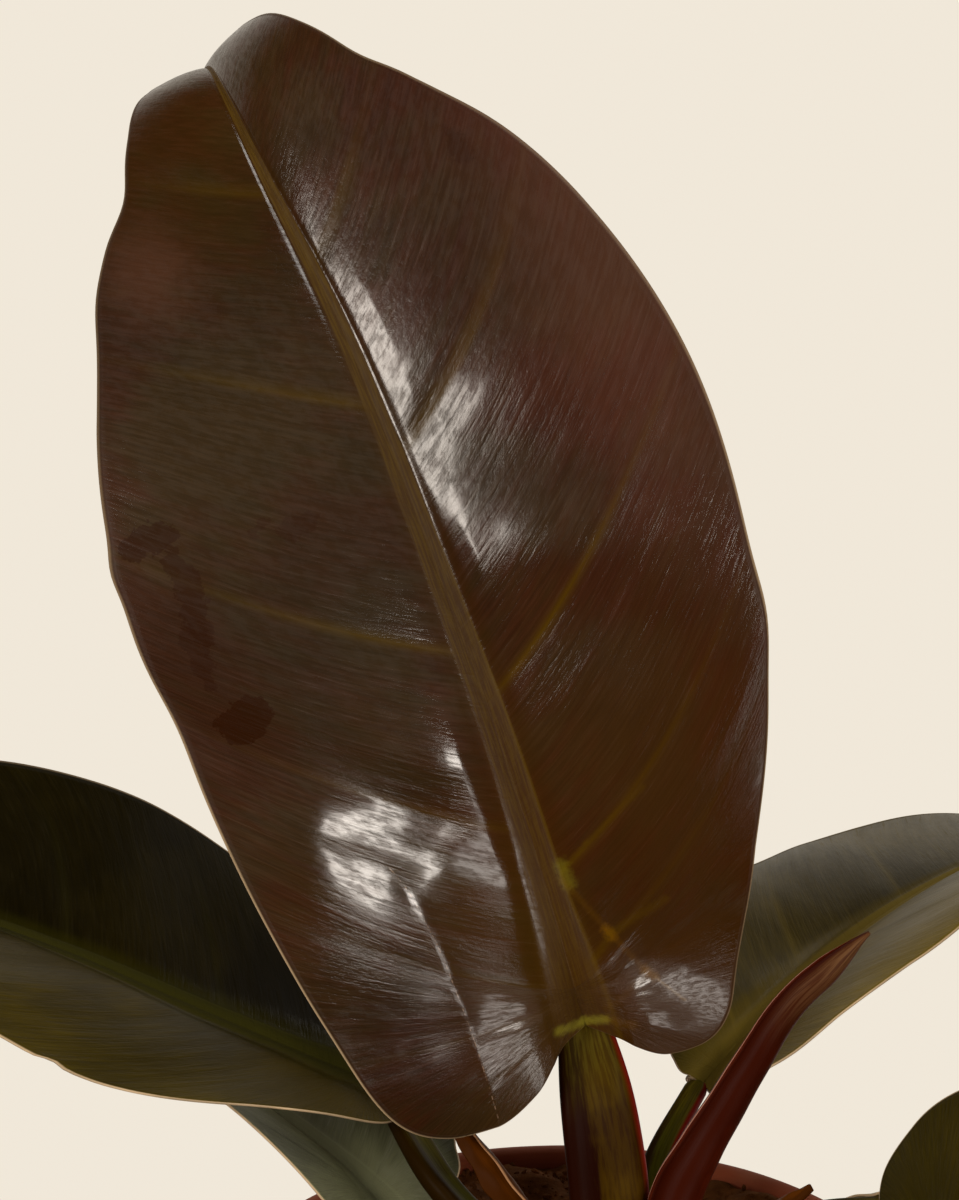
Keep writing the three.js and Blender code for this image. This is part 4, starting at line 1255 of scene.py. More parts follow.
def blade_rows(leaf, spine, settings, seed):
    """Upper-face points of a blade in mm, with out, vein, off and along for each."""
    rows, columns = leaf.mesh_size
    edges = [edge_points(outline, leaf, spine.length, rows) for outline in (leaf.left, leaf.right)]
    origin = vein_origins(edges, rows, spine.length)[:, None]
    vein = np.linspace(0, 1, rows + 1)[:, None]
    out = (np.arange(columns + 1) / columns)[None, :] ** MIDRIB_CROWDING
    halves = []
    parts = zip((-1, 1), edges, leaf.fold, leaf.curl, side_veins(leaf, seed))
    for side, edge, fold, curl, veins in parts:
        run = np.gradient(edge, axis=0)
        outward = unit(np.stack([run[:, 1], -run[:, 0]], -1))
        edge = edge + outward * margin_shift(leaf, vein, int(side > 0), seed)
        off = np.maximum(edge[:, :1], 0) * out
        along = origin + (edge[:, 1:] - origin) * ((1 - VEIN_BOW) * out + VEIN_BOW * out**2)
        share = along / spine.length
        angle = np.radians(smooth_read(fold, share) + smooth_read(curl, share) * out / 2)
        turns = MARGIN_WAVES * vein + (MARGIN_SHIFT if side > 0 else 0)
        wave = leaf.wave * np.sin(2 * math.pi * turns) * out**2 * np.sin(math.pi * vein)
        near = np.clip(off / RIB_CLEARANCE, 0, 1)
        clear = near * np.clip((vein - LOBE_END) / LOBE_BLEND, LOBE_CALM, 1)
        swell = settings.swell / MM * swells(vein, out, side, seed) * clear
        bulge = panels(veins, vein + 0 * out) * clear * (1 - out**3)
        swell += settings.panel / MM * bulge * leaf.half / PANEL_HALF
        rib = rib_profile(leaf, off, share, settings.groove / MM)
        centre, _, across, face = spine.at(along)
        height = off * np.sin(angle) + wave + swell + rib
        for (x, y), (wide, tall), rise in leaf.dents:
            height += near * rise * np.exp(-(((off * side - x) / wide) ** 2) - ((along - y) / tall) ** 2)
        if leaf.veins and side < 0:
            height += near * crease_height(off * side, along)
        points = centre + across * (off * np.cos(angle) * side)[..., None] + face * height[..., None]
        places = [side * out + 0 * vein, vein + 0 * out, off * side, along]
        halves.append([points, *places])
    return [np.concatenate([a[:, :0:-1], b], axis=1) for a, b in zip(*halves)]


def vertex_normals(points, faces):
    a, b, c = (points[faces[:, k]] for k in range(3))
    normals = np.zeros_like(points)
    face_normals = np.cross(b - a, c - a)
    for k in range(faces.shape[1]):
        np.add.at(normals, faces[:, k], face_normals)
    return unit(normals)


def blade_object(name, leaf, spine, settings, seed):
    """Closed blade with a fine upper face, a ribbed lower face and a thin margin."""
    rows, columns = leaf.mesh_size
    points, out, vein, off, along = blade_rows(leaf, spine, settings, seed)
    width = 2 * columns + 1

    def flat(grid):
        inner = grid[1:-1].reshape(-1, *grid.shape[2:])
        return np.concatenate([grid[:1, 0], inner, grid[-1:, 0]])

    top = flat(points)
    tip = len(top) - 1
    number = 1 + np.arange((rows - 1) * width).reshape(rows - 1, width)
    a, b, c, d = number[:-1, :-1], number[:-1, 1:], number[1:, 1:], number[1:, :-1]
    quads = np.stack([a, b, c, d], -1).reshape(-1, 4)
    first = [(0, int(number[0, j + 1]), int(number[0, j])) for j in range(width - 1)]
    last = [(int(number[-1, j]), int(number[-1, j + 1]), tip) for j in range(width - 1)]
    normals = vertex_normals(top, quads)
    normals[0], normals[tip] = normals[number[0, columns]], normals[number[-1, columns]]

    flat_out, flat_off, flat_along = flat(np.abs(out)), flat(off), flat(along)
    share = np.clip(flat_along / spine.length, 0, 1)
    thin = settings.margin + (settings.thickness - settings.margin) * (1 - flat_out**6)
    thin[0] = thin[tip] = settings.margin
    rib_share = np.clip(share / RIB_REACH, 0, 1)
    radius = leaf.rib[0] + (leaf.rib[1] - leaf.rib[0]) * np.sqrt(rib_share)
    rib = RIB_DEPTH * np.sqrt(np.maximum(radius**2 - flat_off**2, 0)) * (1 - rib_share**8)
    rib[0] = 0
    lower = top - normals * (thin / MM + rib)[:, None]

    count = len(top)
    faces = first + quads.tolist() + last
    under = [tuple(k + count for k in reversed(face)) for face in faces]
    ring = [0, *number[:, -1].tolist(), tip, *number[::-1, 0].tolist()]
    rim = [(b, a, a + count, b + count) for a, b in zip(ring, ring[1:] + ring[:1])]
    piece = new_object(name, np.concatenate([top, lower]), faces + under + rim)
    mesh = piece.data
    flat_vein, signed = flat(vein), flat(out)
    flat_vein[tip] = 1
    vein_map = np.stack([0.5 + signed / 2, flat_vein], -1)
    leaf_plane = np.stack([flat_off, flat_along], -1) * MM
    store_uv(mesh, "vein_map", np.concatenate([vein_map, vein_map]))
    store_uv(mesh, "leaf_plane", np.concatenate([leaf_plane, leaf_plane]))
    if leaf.veins:
        beyond = beyond_crease(flat_off, flat_along)
        shown = (flat_along < FOLD_TOP) & (flat_off < 0)
        store(mesh, "fold_line", "FLOAT", np.tile(np.where(shown, beyond, FAR_OFF), 2))
    slots = np.repeat([0, 1, 2], [len(faces), len(under), len(rim)])
    mesh.polygons.foreach_set("material_index", slots.astype(np.int32))
    mesh.shade_smooth()
    return piece


def build_blade(name, leaf, context, seed):
    settings = context.scene.philodendron_leaf
    spine = Spine(leaf.midrib, *leaf.across)
    piece = blade_object(f"{name}_fine_blade", leaf, spine, settings, seed)
    margin = bpy.data.materials.get("pale_margin") or margin_material(settings)
    upper = leaf_material(f"{name}_upper", settings, leaf, spine.length, "upper", seed)
    under = leaf_material(f"{name}_under", settings, leaf, spine.length, "under", seed)
    for material in (upper, under, margin):
        piece.data.materials.append(material)
    settle(piece, f"{name}_blade")


# Geometry node trees

# Points closer than this are one point where a grid closes on itself.
WELD = 0.005 * MM


def geometry_tree(name, inputs):
    graph = Graph(bpy.data.node_groups.new(name, "GeometryNodeTree"))
    graph.socket("Geometry", "Geometry")
    for socket in inputs:
        graph.socket(*socket)
    graph.socket("Geometry", "Geometry", given=False)
    return graph, graph.add("NodeGroupInput").outputs


def end_tree(graph, geometry, material):
    """Smooth shading, real instances and the material, as every tree here ends."""
    smooth = graph.add("GeometryNodeSetShadeSmooth", {"Geometry": geometry}).outputs[0]
    real = graph.add("GeometryNodeRealizeInstances", {"Geometry": smooth}).outputs[0]
    painted = graph.add("GeometryNodeSetMaterial", {"Geometry": real, "Material": material}).outputs[0]
    graph.add("NodeGroupOutput", {0: painted})


def grow(piece, tree, **values):
    """Runs a tree on an object with the given inputs, and keeps the plain mesh it makes."""
    modifier = piece.modifiers.new(tree.name, "NODES")
    modifier.node_group = tree
    for item in tree.interface.items_tree:
        key = item.name.lower().replace(" ", "_")
        if item.in_out == "INPUT" and key in values:
            modifier[item.identifier] = values[key]
    depsgraph = bpy.context.evaluated_depsgraph_get()
    made = bpy.data.meshes.new_from_object(
        piece.evaluated_get(depsgraph), preserve_all_data_layers=True, depsgraph=depsgraph
    )
    piece.modifiers.clear()
    piece.data = made
    return piece


def wrapped_grid(graph, steps, sides):
    """A grid to wrap, with the share along it and the angle round it of each point."""
    sizes = {"Size X": 1.0, "Size Y": 1.0, "Vertices X": steps, "Vertices Y": sides}
    grid = graph.add("GeometryNodeMeshGrid", sizes).outputs[0]
    place = graph.separate(graph.add("GeometryNodeInputPosition").outputs[0])
    share = graph.math("ADD", place[0], 0.5)
    angle = graph.times(graph.math("ADD", place[1], 0.5), 2 * math.pi)
    return grid, share, angle


def route_tree(name):
    """A closed skin round a route whose points hold the attributes across and size.

    size is the half width and the half depth. The upper side has a groove along its middle.
    """
    graph, given = geometry_tree(
        name,
        [("Steps", "Int", 60), ("Sides", "Int", 40), ("Channel", "Float", 0.3),
         ("Flatness", "Float", 0.8), ("Rounded end", "Float", 0.03), ("Material", "Material")],
    )
    route = graph.add("GeometryNodeMeshToCurve", {0: given["Geometry"]}).outputs[0]
    grid, share, angle = wrapped_grid(graph, given["Steps"], given["Sides"])
    samples = {}
    for attribute in ("across", "size"):
        read = graph.add("GeometryNodeInputNamedAttribute", {"Name": attribute}, data_type="FLOAT_VECTOR")
        samples[attribute] = graph.add(
            "GeometryNodeSampleCurve",
            {"Curves": route, "Value": read.outputs[0], "Factor": share},
            data_type="FLOAT_VECTOR", mode="FACTOR",
        )
    across = samples["across"].outputs["Value"]
    along = samples["across"].outputs["Tangent"]
    centre = samples["across"].outputs["Position"]
    face = graph.vector("CROSS_PRODUCT", across, along)
    half_width, half_depth, _ = graph.separate(samples["size"].outputs["Value"])
    from_end = graph.math("MINIMUM", share, graph.math("SUBTRACT", 1.0, share))
    nearness = graph.math("SUBTRACT", 1.0, graph.math("DIVIDE", from_end, given["Rounded end"]))
    nearness = graph.add("ShaderNodeClamp", {0: nearness}).outputs[0]
    rounding = graph.math("SQRT", graph.math("SUBTRACT", 1.0, graph.math("POWER", nearness, 2.0)))
    sine, cosine = graph.math("SINE", angle), graph.math("COSINE", angle)
    raised = graph.math("MAXIMUM", cosine, 0.0)
    flattened = graph.times(raised, graph.math("SUBTRACT", 1.0, given["Flatness"]))
    lift = graph.math("SUBTRACT", cosine, flattened)
    groove = graph.times(graph.math("POWER", raised, 4.0), given["Channel"])
    lift = graph.math("SUBTRACT", lift, groove)
    sideways = graph.times(sine, half_width, rounding)
    upward = graph.times(lift, half_depth, rounding)
    beside = graph.vector("ADD", centre, graph.scaled(across, sideways))
    skin_place = graph.vector("ADD", beside, graph.scaled(face, upward))
    marked = graph.add(
        "GeometryNodeStoreNamedAttribute",
        {"Geometry": grid, "Name": "skin_place", "Value": graph.combine(sine, cosine, share)},
        data_type="FLOAT_VECTOR", domain="POINT",
    ).outputs[0]
    moved = graph.add("GeometryNodeSetPosition", {"Geometry": marked, "Position": skin_place}).outputs[0]
    closed = graph.add("GeometryNodeMergeByDistance", {"Geometry": moved, "Distance": WELD}).outputs[0]
    end_tree(graph, closed, given["Material"])
    return graph.tree


def turned_tree(name):
    """A profile, drawn as a chain of edges in the XZ plane, turned about the Z axis."""
    graph, given = geometry_tree(
        name,
        [("Sides", "Int", 160), ("Rows", "Int", 200), ("Rounding", "Float", 0.001),
         ("Unevenness", "Float", 0.0), ("Middle", "Vector", (0, 0, 0)), ("Material", "Material")],
    )
    outline = graph.add("GeometryNodeMeshToCurve", {0: given["Geometry"]}).outputs[0]
    rounded = graph.add(
        "GeometryNodeFilletCurve",
        {"Curve": outline, "Radius": given["Rounding"], "Limit Radius": True, "Count": 4},
        mode="POLY",
    ).outputs[0]
    grid, share, angle = wrapped_grid(graph, given["Rows"], given["Sides"])
    sample = graph.add("GeometryNodeSampleCurve", {"Curves": rounded, "Factor": share}, mode="FACTOR")
    radius, _, height = graph.separate(sample.outputs["Position"])
    turned = graph.combine(
        graph.times(radius, graph.math("COSINE", angle)),
        graph.times(radius, graph.math("SINE", angle)),
        height,
    )
    lumps = graph.vector("SUBTRACT", graph.noise(turned, 30.0, 2.0, colour=True), (0.5, 0.5, 0.5))
    inward = graph.add("ShaderNodeClamp", {0: graph.times(radius, 100.0)}).outputs[0]
    uneven = graph.scaled(lumps, graph.times(given["Unevenness"], inward))
    uneven = graph.vector("MULTIPLY", uneven, (1.0, 1.0, 0.0))
    moved = graph.add(
        "GeometryNodeSetPosition",
        {"Geometry": grid, "Position": graph.vector("ADD", turned, uneven), "Offset": given["Middle"]},
    ).outputs[0]
    closed = graph.add("GeometryNodeMergeByDistance", {"Geometry": moved, "Distance": WELD}).outputs[0]
    end_tree(graph, closed, given["Material"])
    return graph.tree


def drain_tree(name):
    """Round holes on a circle, cut through a floor."""
    graph, given = geometry_tree(
        name,
        [("Count", "Int", 4), ("Radius", "Float", 0.005), ("Circle", "Float", 0.026),
         ("Material", "Material")],
    )
    circle = {"Vertices": given["Count"], "Radius": given["Circle"]}
    points = graph.add("GeometryNodeMeshCircle", circle).outputs[0]
    turn = {"Geometry": points, "Rotation": (0, 0, math.pi / 4)}
    turned = graph.add("GeometryNodeTransform", turn).outputs[0]
    cutter = graph.add(
        "GeometryNodeMeshCylinder", {"Vertices": 32, "Radius": given["Radius"], "Depth": 40 * MM}
    ).outputs[0]
    cutters = graph.add("GeometryNodeInstanceOnPoints", {"Points": turned, "Instance": cutter}).outputs[0]
    real = graph.add("GeometryNodeRealizeInstances", {"Geometry": cutters}).outputs[0]
    cut = graph.add(
        "GeometryNodeMeshBoolean", {"Mesh 1": given["Geometry"], "Mesh 2": real}, operation="DIFFERENCE",
    ).outputs[0]
    end_tree(graph, cut, given["Material"])
    return graph.tree


def crumb_tree(name):
    """Crumbs scattered on the upward faces of the soil, and joined to it."""
    graph, given = geometry_tree(
        name,
        [("Density", "Float", 90000.0), ("Size", "Float", 0.0015), ("Seed", "Int", 7),
         ("Material", "Material")],
    )
    upward = graph.separate(graph.add("GeometryNodeInputNormal").outputs[0])[2]
    facing = graph.math("GREATER_THAN", upward, 0.6)
    scatter = graph.add(
        "GeometryNodeDistributePointsOnFaces",
        {"Mesh": given["Geometry"], "Selection": facing, "Density": given["Density"], "Seed": given["Seed"]},
    )
    ball = graph.add("GeometryNodeMeshUVSphere", {"Segments": 7, "Rings": 5, "Radius": 1.0}).outputs[0]
    place = graph.add("GeometryNodeInputPosition").outputs[0]
    dents = graph.vector("SUBTRACT", graph.noise(place, 1.3, 2.0, colour=True), (0.5, 0.5, 0.5))
    offset = graph.scaled(dents, 1.5)
    lump = graph.add("GeometryNodeSetPosition", {"Geometry": ball, "Offset": offset}).outputs[0]
    spin = graph.add(
        "FunctionNodeRandomValue", {0: (0, 0, 0), 1: (6.3, 6.3, 6.3), "Seed": given["Seed"]},
        data_type="FLOAT_VECTOR",
    ).outputs[0]
    draw = graph.add(
        "FunctionNodeRandomValue", {2: 0.0, 3: 1.0, "Seed": given["Seed"]}, data_type="FLOAT"
    ).outputs[1]
    spread = graph.math("MULTIPLY_ADD", graph.math("POWER", draw, 3.0), 0.75, 0.25)
    size = graph.times(spread, given["Size"])
    stretch = graph.add(
        "FunctionNodeRandomValue", {0: (0.6, 0.6, 0.45), 1: (1.4, 1.0, 0.8), "Seed": given["Seed"]},
        data_type="FLOAT_VECTOR",
    ).outputs[0]
    points, scale = scatter.outputs["Points"], graph.scaled(stretch, size)
    crumbs = graph.add(
        "GeometryNodeInstanceOnPoints",
        {"Points": points, "Instance": lump, "Rotation": spin, "Scale": scale},
    ).outputs[0]
    join = graph.add("GeometryNodeJoinGeometry")
    graph.tree.links.new(given["Geometry"], join.inputs[0])
    graph.tree.links.new(crumbs, join.inputs[0])
    end_tree(graph, join.outputs[0], given["Material"])
    return graph.tree


def tree_named(name, build):
    return bpy.data.node_groups.get(name) or build(name)


def chain(name, points):
    """An object that is only a chain of edges through points in mm."""
    edges = [(i, i + 1) for i in range(len(points) - 1)]
    return new_object(name, points, [], edges)


# Pieces

# How far a stalk's end reaches into the blade's base, in mm.
STALK_OVERLAP = 0.4

# The soil's sides: the radius at its foot, and radius and height of the bend under the collar, in mm.
SOIL_FOOT = 38
SOIL_BEND = (58.5, 91.5)


def stalk_across(leaf):
    """At the stem a stalk's width lies along the stem's girth."""
    first, second = np.array(leaf.stalk[0], float), np.array(leaf.stalk[1], float)
    outward = (second - first) * (1, 1, 0)
    across = np.cross((0, 0, 1), unit(outward))
    return -across if across @ np.array(leaf.across[0]) < 0 else across


def stalk_finish(settings, main):
    """Material of the large leaf's stalk, or the one that the other stalks share."""
    if main:
        return stalk_material(
            "olive_stalk", settings.olive, settings.brown, settings.red, settings.joint_green
        )
    return bpy.data.materials.get("green_stalk") or stalk_material(
        "green_stalk", settings.green, settings.green_brown, lighter(settings.red, 0.5), settings.joint_green
    )


def build_stalk(name, leaf, settings, leaf_settings):
    """Stalk along its route, from the stem to the base of the blade."""
    base = Spine(leaf.midrib, *leaf.across)
    centre, _, _, face = base.at(0)
    half_depth = leaf.stalk_depth[-1] / 2
    end = centre - face * leaf.joint * (leaf_settings.thickness / MM + half_depth - STALK_OVERLAP)
    spine = Spine([*leaf.stalk, end], stalk_across(leaf), leaf.across[0])
    steps = 48
    share = np.linspace(0, 1, steps)
    places, _, across, _ = spine.at(share * spine.length)
    route = chain(f"{name}_fine_stalk", places)
    store(route.data, "across", "FLOAT_VECTOR", across)
    half_width = smooth_read(leaf.stalk_width, share) / 2
    half_depth = smooth_read(leaf.stalk_depth, share) / 2
    store(route.data, "size", "FLOAT_VECTOR", np.stack([half_width, half_depth, 0 * share], -1) * MM)
    material = stalk_finish(settings, bool(leaf.veins))
    tree = tree_named("skin along a route", route_tree)
    grow(
        route, tree, steps=64, sides=49, channel=settings.channel, flatness=0.8, rounded_end=0.05,
        material=material,
    )
    settle(route, f"{name}_stalk")


def ring_strip(rings):
    """Faces through rings of equal length, closed at both ends by a middle point."""
    count, sides = rings.shape[:2]
    points = np.concatenate([rings.reshape(-1, 3), rings[0].mean(0)[None], rings[-1].mean(0)[None]])
    number = np.arange(count * sides).reshape(count, sides)
    after = np.roll(number, -1, axis=1)
    quads = np.stack([number[:-1], after[:-1], after[1:], number[1:]], -1).reshape(-1, 4).tolist()
    low, high = count * sides, count * sides + 1
    quads += [(low, b, a) for a, b in zip(number[0].tolist(), after[0].tolist())]
    quads += [(high, a, b) for a, b in zip(number[-1].tolist(), after[-1].tolist())]
    return points, quads


def build_rolled_leaf(settings):
    """New leaf, rolled into a spear, with its outer edge lapping over the roll."""
    spec = ROLLED_LEAF
    spine = Spine(spec["route"], spec["across"], spec["across"])
    steps, sides = 150, 72
    share = np.linspace(0, 1, steps + 1)[:, None]
    turn = np.linspace(0, 1, sides)[None, :]
    centre, _, across, face = spine.at(share[:, 0] * spine.length)
    seam = spec["seam"] + 0.5 * np.sin(share * 3.1)
    angle = seam + turn * 2 * math.pi
    lap = spec["lap"] * (1 - turn) ** 1.3
    ripple = 0.05 * np.sin(share * 40 + turn * 5) * (share > 0.02)
    radius = smooth_read(spec["radius"], share) * (1 - lap) + ripple
    sideways, upward = radius * np.sin(angle), radius * np.cos(angle)
    rings = centre[:, None] + across[:, None] * sideways[..., None] + face[:, None] * upward[..., None]
    points, faces = ring_strip(rings)
    piece = new_object("rolled_spear", points, faces)
    place = np.stack([turn * 2 - 1 + 0 * share, np.cos(angle), share + 0 * turn], -1).reshape(-1, 3)
    ends = [(0, 0, 0), (0, 0, 1)]
    store(piece.data, "skin_place", "FLOAT_VECTOR", np.concatenate([place, ends]))
    piece.data.shade_smooth()
    piece.data.materials.append(
        stalk_material(
            "rolled_leaf_skin", settings.spear, lighter(settings.spear, 0.5), srgb(190, 130, 110),
            srgb(122, 88, 58), streaks=26.0, edge_start=0.95, gloss=0.42,
        )
    )
    settle(piece, "rolled_leaf")


def build_sheath(name, spec, material):
    """Thin channel that narrows to a tip, with uneven edges."""
    spine = Spine(spec["route"], spec["across"], spec["across"])
    steps, sides = 90, 28
    share = np.linspace(0, 1, steps + 1)
    radius = smooth_read(spec["radius"], share)
    centre, _, across, face = spine.at(share * spine.length)
    turn = np.linspace(1, -1, sides + 1)

    def arc(depth, turns):
        spread = math.radians(spec["spread"]) * (1 + 0.06 * np.sin(share * 23))[:, None]
        angle = spread * turns[None, :]
        crinkle = 0.18 * np.sin(share * 37 + 3)[:, None] * np.sin(turns * 5)[None, :]
        upward = radius[:, None] * (1 - np.cos(angle)) + depth + crinkle
        sideways = radius[:, None] * np.sin(angle)
        return centre[:, None] + across[:, None] * sideways[..., None] + face[:, None] * upward[..., None]

    depth = 0.42 * (1 - 0.75 * turn**8)
    rings = np.concatenate([arc(-depth[None, :], turn), arc(depth[None, ::-1], turn[::-1])], axis=1)
    points, faces = ring_strip(rings)
    piece = new_object(f"{name}_fine", points, faces)
    around = np.concatenate([turn, turn[::-1]])
    place = np.stack(np.broadcast_arrays(around[None, :], 0.0, share[:, None]), -1).reshape(-1, 3)
    store(piece.data, "skin_place", "FLOAT_VECTOR", np.concatenate([place, [(0, 0, 0), (0, 0, 1)]]))
    piece.data.shade_smooth()
    piece.data.materials.append(material)
    settle(piece, name)


def pot_profile(settings):
    """The pot's outline as (radius, height) in mm, from the middle of its foot round to its floor."""
    height, rim, foot = settings.height / MM, settings.rim_radius / MM, settings.foot_radius / MM
    collar_foot, collar = height - 28, rim - 1.5
    body_top, wall, floor, rim_wall = collar - 4, 5.5, 8, 6
    return [
        (0, 0), (foot, 0), (body_top, collar_foot), (collar, collar_foot), (rim, height),
        (rim - rim_wall, height), (body_top - wall, collar_foot - wall), (foot - wall, floor), (0, floor),
    ]


def build_pot(context):
    settings = context.scene.philodendron_pot
    profile = [(radius, 0, z) for radius, z in pot_profile(settings)]
    pot = chain("clay_pot", profile)
    clay = clay_material(settings)
    turned = tree_named("turned body", turned_tree)
    grow(pot, turned, sides=193, rows=260, rounding=2.4 * MM, unevenness=0.6 * MM, material=clay)
    drains = tree_named("drain holes", drain_tree)
    grow(
        pot, drains, count=settings.drains, radius=settings.drain_radius, circle=settings.drain_circle,
        material=clay,
    )
    settle(pot, "pot")


def soil_height(x, y, top):
    """Height of the soil's surface in mm: two crossed waves, lumps and a dip at the crown."""
    waves = 0.9 * math.sin(x * 0.31 + y * 0.27 + 1.7) + 0.6 * math.sin(x * 0.16 - y * 0.43)
    lumps = 1.6 * noise.fractal(Vector((x, y, 4)) / 9, 0.9, 2.1, 5)
    from_crown = math.hypot(x - CROWN[0], y - CROWN[1]) / 30
    return top + waves * min(1, from_crown) + lumps - 1.5 * max(0, 1 - from_crown**2)


def build_soil(context):
    """Lumpy soil with loose crumbs, filling the pot."""
    settings = context.scene.philodendron_soil
    low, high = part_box("soil")
    sides, rows = 150, 60
    rim, top = high.x / MM, settings.top / MM
    angles = np.linspace(0, 2 * math.pi, sides, endpoint=False)
    rings = []
    for radius, z in ((SOIL_FOOT, low.z / MM + 0.2), SOIL_BEND, (rim - 0.2, top - 1.2)):
        rings.append([(radius * math.cos(t), radius * math.sin(t), z) for t in angles])
    for i in range(rows):
        radius = (rim - 0.8) * (1 - i / rows)
        ring = [(radius * math.cos(t), radius * math.sin(t)) for t in angles]
        rings.append([(x, y, soil_height(x, y, top)) for x, y in ring])
    points, faces = ring_strip(np.array(rings))
    piece = new_object("loose_soil", points, faces)
    area = math.pi * (rim * MM) ** 2
    grow(
        piece, tree_named("crumbs", crumb_tree), density=settings.crumbs / area, size=settings.crumb_size,
        seed=settings.seed, material=soil_material(settings),
    )
    settle(piece, "soil")


def build_stem(context):
    """Short ringed stem between the stalks."""
    profile = smooth_curve(STEM, 60)
    rings = 0.35 * np.abs(np.sin(profile[:, 1] * 0.9))
    side = [(r + ring, 0, z) for (r, z), ring in zip(profile, rings)]
    stem = chain("ringed_stem", [(0, 0, STEM[0][1]), *side, (0, 0, STEM[-1][1])])
    settings = context.scene.philodendron_stalk
    turned = tree_named("turned body", turned_tree)
    middle = (CROWN[0] * MM, CROWN[1] * MM, 0)
    grow(
        stem, turned, sides=65, rows=120, rounding=0.1 * MM, unevenness=1.2 * MM, middle=middle,
        material=stem_material(settings),
    )
    settle(stem, "stem")


# The camera stands where the photograph was taken from: place in metres, degrees up from looking down,
# lens and sensor in mm.
CAMERA_PLACE = (-0.018, -0.610, 0.431)
CAMERA_TILT = 75
CAMERA_LENS = 100
CAMERA_SENSOR = 36

# Lights, each under the name of the setting that holds its power: place, aim and size in metres, colour.
LIGHTS = {
    "key": ((-1.06, -1.01, 0.8), (-0.01, 0, 0.22), (0.7, 0.3), (1, 0.91, 0.81)),
    "fill": ((0.45, -1.17, 0.45), (-0.01, 0, 0.22), (0.29, 0.21), (1, 0.92, 0.83)),
    "low": ((0.62, -1.08, -0.02), (-0.01, 0, 0.22), (0.27, 0.4), (1, 0.93, 0.86)),
    "top": ((0.55, 0.05, 1.6), (0, 0, 0), (0.5, 0.5), (1, 0.96, 0.9)),
}


def place_light(name, place, aim, size, tint, energy):
    data = bpy.data.lights.new(name, "AREA")
    data.shape = "RECTANGLE"
    data.size, data.size_y = size
    data.energy = energy
    data.color = tint
    light = bpy.data.objects.new(name, data)
    bpy.context.collection.objects.link(light)
    light.location = place
    light.rotation_euler = (Vector(aim) - Vector(place)).to_track_quat("-Z", "Y").to_euler()


def build_world(settings):
    """Cream behind the plant, a dark studio in front of it and above it."""
    world = bpy.data.worlds.new("studio")
    world.use_nodes = True
    bpy.context.scene.world = world
    graph = Graph(world.node_tree)
    background = world.node_tree.nodes["Background"]
    direction = graph.separate(graph.add("ShaderNodeTexCoord").outputs["Generated"])
    behind = graph.fade(direction[1], 0.0, 0.55)
    low = graph.fade(direction[2], 0.9, 0.45)
    wall = graph.times(behind, low)
    front = graph.fade(direction[1], 0.1, -0.5)
    raised = graph.fade(direction[2], -0.05, 0.6)
    ceiling = graph.times(front, raised, graph.fade(direction[2], 0.95, 0.8))
    glow = graph.math("MULTIPLY_ADD", wall, 0.85, graph.math("MULTIPLY_ADD", ceiling, 0.3, 0.012))
    seen = graph.add("ShaderNodeLightPath").outputs["Is Camera Ray"]
    strength = graph.math("MAXIMUM", seen, glow)
    graph.put(background.inputs["Color"], settings.paper)
    graph.put(background.inputs["Strength"], strength)


def build_floor(settings):
    """Round paper floor that fades into the background."""
    sides, radius = 96, 900
    ring = [
        (radius * math.cos(2 * math.pi * k / sides), radius * math.sin(2 * math.pi * k / sides), 0)
        for k in range(sides)
    ]
    floor = new_object("paper_floor", ring, [tuple(range(sides))])
    material, graph, shader = new_material("cream_paper")
    place = graph.object_place()
    away = graph.vector("LENGTH", place)
    graph.put(shader.inputs["Alpha"], graph.fade(away, 0.2, 0.31, 1.0, 0.0))
    shader.inputs["Base Color"].default_value = (*settings.paper, 1)
    shader.inputs["Roughness"].default_value = 0.8
    shader.inputs["Specular IOR Level"].default_value = 0.0
    floor.data.materials.append(material)


def build_camera():
    """Camera where the photograph was taken from."""
    data = bpy.data.cameras.new("camera")
    data.lens, data.sensor_width = CAMERA_LENS, CAMERA_SENSOR
    data.clip_start, data.clip_end = 0.01, 50
    camera = bpy.data.objects.new("camera", data)
    bpy.context.collection.objects.link(camera)
    camera.location = CAMERA_PLACE
    camera.rotation_euler = (math.radians(CAMERA_TILT), 0, 0)
    bpy.context.scene.camera = camera


# Operators, panel and registration


class PHILODENDRON_OT_stage(bpy.types.Operator):
    """Set up the camera, the lights, the floor and the background"""

    bl_idname = "philodendron.stage"
    bl_label = "Stage"

    def execute(self, context):
        settings = context.scene.philodendron_stage
        build_camera()
        build_world(settings)
        build_floor(settings)
        for name, light in LIGHTS.items():
            place_light(f"{name} light", *light, getattr(settings, name))
        context.scene.view_settings.view_transform = "Standard"
        return {"FINISHED"}


class PHILODENDRON_OT_pot(bpy.types.Operator):
    """Make the clay pot with its collar and drain holes"""

    bl_idname = "philodendron.pot"
    bl_label = "Clay pot"

    def execute(self, context):
        build_pot(context)
        return {"FINISHED"}


class PHILODENDRON_OT_soil(bpy.types.Operator):
    """Make the soil and its crumbs"""

    bl_idname = "philodendron.soil"
    bl_label = "Soil"

    def execute(self, context):
        build_soil(context)
        return {"FINISHED"}


class PHILODENDRON_OT_stem(bpy.types.Operator):
    """Make the short stem at the crown"""

    bl_idname = "philodendron.stem"
    bl_label = "Stem"

    def execute(self, context):
        build_stem(context)
        return {"FINISHED"}


class PHILODENDRON_OT_blades(bpy.types.Operator):
    """Make every leaf blade, with its veins and margin"""

    bl_idname = "philodendron.blades"
    bl_label = "Leaf blades"

    def execute(self, context):
        for seed, (name, leaf) in enumerate(LEAVES.items()):
            build_blade(name, leaf, context, seed)
        return {"FINISHED"}


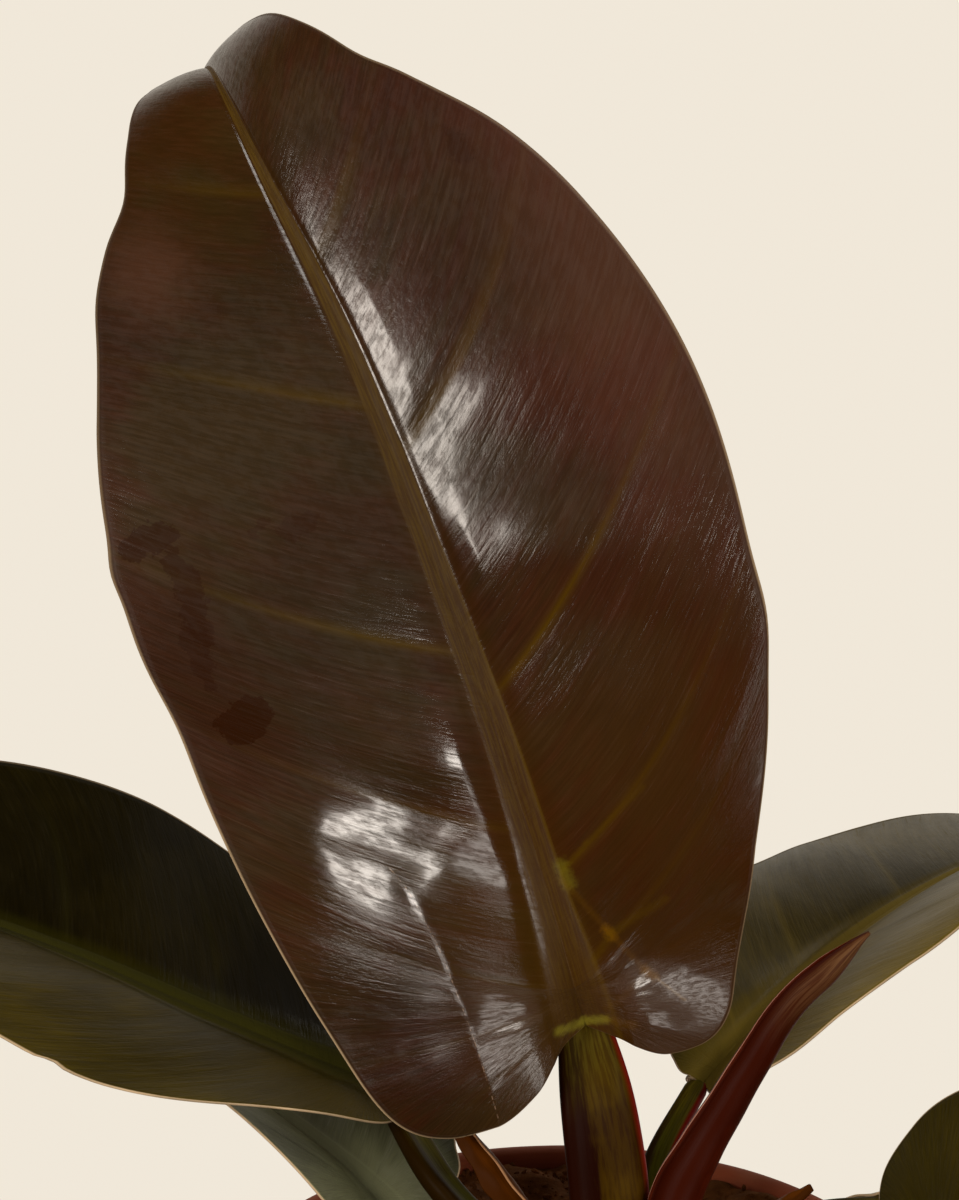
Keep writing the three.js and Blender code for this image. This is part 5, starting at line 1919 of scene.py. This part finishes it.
class PHILODENDRON_OT_stalks(bpy.types.Operator):
    """Make every leaf stalk"""

    bl_idname = "philodendron.stalks"
    bl_label = "Leaf stalks"

    def execute(self, context):
        scene = context.scene
        for name, leaf in LEAVES.items():
            build_stalk(name, leaf, scene.philodendron_stalk, scene.philodendron_leaf)
        return {"FINISHED"}


class PHILODENDRON_OT_rolled_leaf(bpy.types.Operator):
    """Make the new leaf that is still rolled"""

    bl_idname = "philodendron.rolled_leaf"
    bl_label = "Rolled leaf"

    def execute(self, context):
        build_rolled_leaf(context.scene.philodendron_stalk)
        return {"FINISHED"}


class PHILODENDRON_OT_sheaths(bpy.types.Operator):
    """Make the papery sheaths at the crown"""

    bl_idname = "philodendron.sheaths"
    bl_label = "Sheaths"

    def execute(self, context):
        settings = context.scene.philodendron_stalk
        material = stalk_material(
            "dry_sheath", settings.sheath, lighter(settings.sheath, 0.55), srgb(190, 140, 100),
            settings.sheath, streaks=18.0, edge_start=0.9, gloss=0.5,
        )
        for name, spec in SHEATHS.items():
            build_sheath(name, spec, material)
        return {"FINISHED"}


OPERATORS = [
    PHILODENDRON_OT_stage,
    PHILODENDRON_OT_pot,
    PHILODENDRON_OT_soil,
    PHILODENDRON_OT_stem,
    PHILODENDRON_OT_blades,
    PHILODENDRON_OT_stalks,
    PHILODENDRON_OT_rolled_leaf,
    PHILODENDRON_OT_sheaths,
]


class PHILODENDRON_PT_panel(bpy.types.Panel):
    """Settings and build steps of the potted philodendron"""

    bl_idname = "PHILODENDRON_PT_panel"
    bl_label = "Potted philodendron"
    bl_space_type = "VIEW_3D"
    bl_region_type = "UI"
    bl_category = "Philodendron"

    def draw(self, context):
        layout = self.layout
        for name, group in SETTINGS.items():
            box = layout.box()
            box.label(text=group.__doc__)
            for key in group.__annotations__:
                box.prop(getattr(context.scene, name), key)
        for operator in OPERATORS:
            layout.operator(operator.bl_idname)


CLASSES = [*SETTINGS.values(), *OPERATORS, PHILODENDRON_PT_panel]


def register():
    for cls in CLASSES:
        bpy.utils.register_class(cls)
    for name, group in SETTINGS.items():
        setattr(bpy.types.Scene, name, bpy.props.PointerProperty(type=group))


def unregister():
    for name in SETTINGS:
        delattr(bpy.types.Scene, name)
    for cls in reversed(CLASSES):
        bpy.utils.unregister_class(cls)


def main():
    register()
    bpy.ops.philodendron.stage()
    bpy.ops.philodendron.pot()
    bpy.ops.philodendron.soil()
    bpy.ops.philodendron.stem()
    bpy.ops.philodendron.blades()
    bpy.ops.philodendron.stalks()
    bpy.ops.philodendron.rolled_leaf()
    bpy.ops.philodendron.sheaths()
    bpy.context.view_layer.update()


if __name__ == "__main__":
    main()
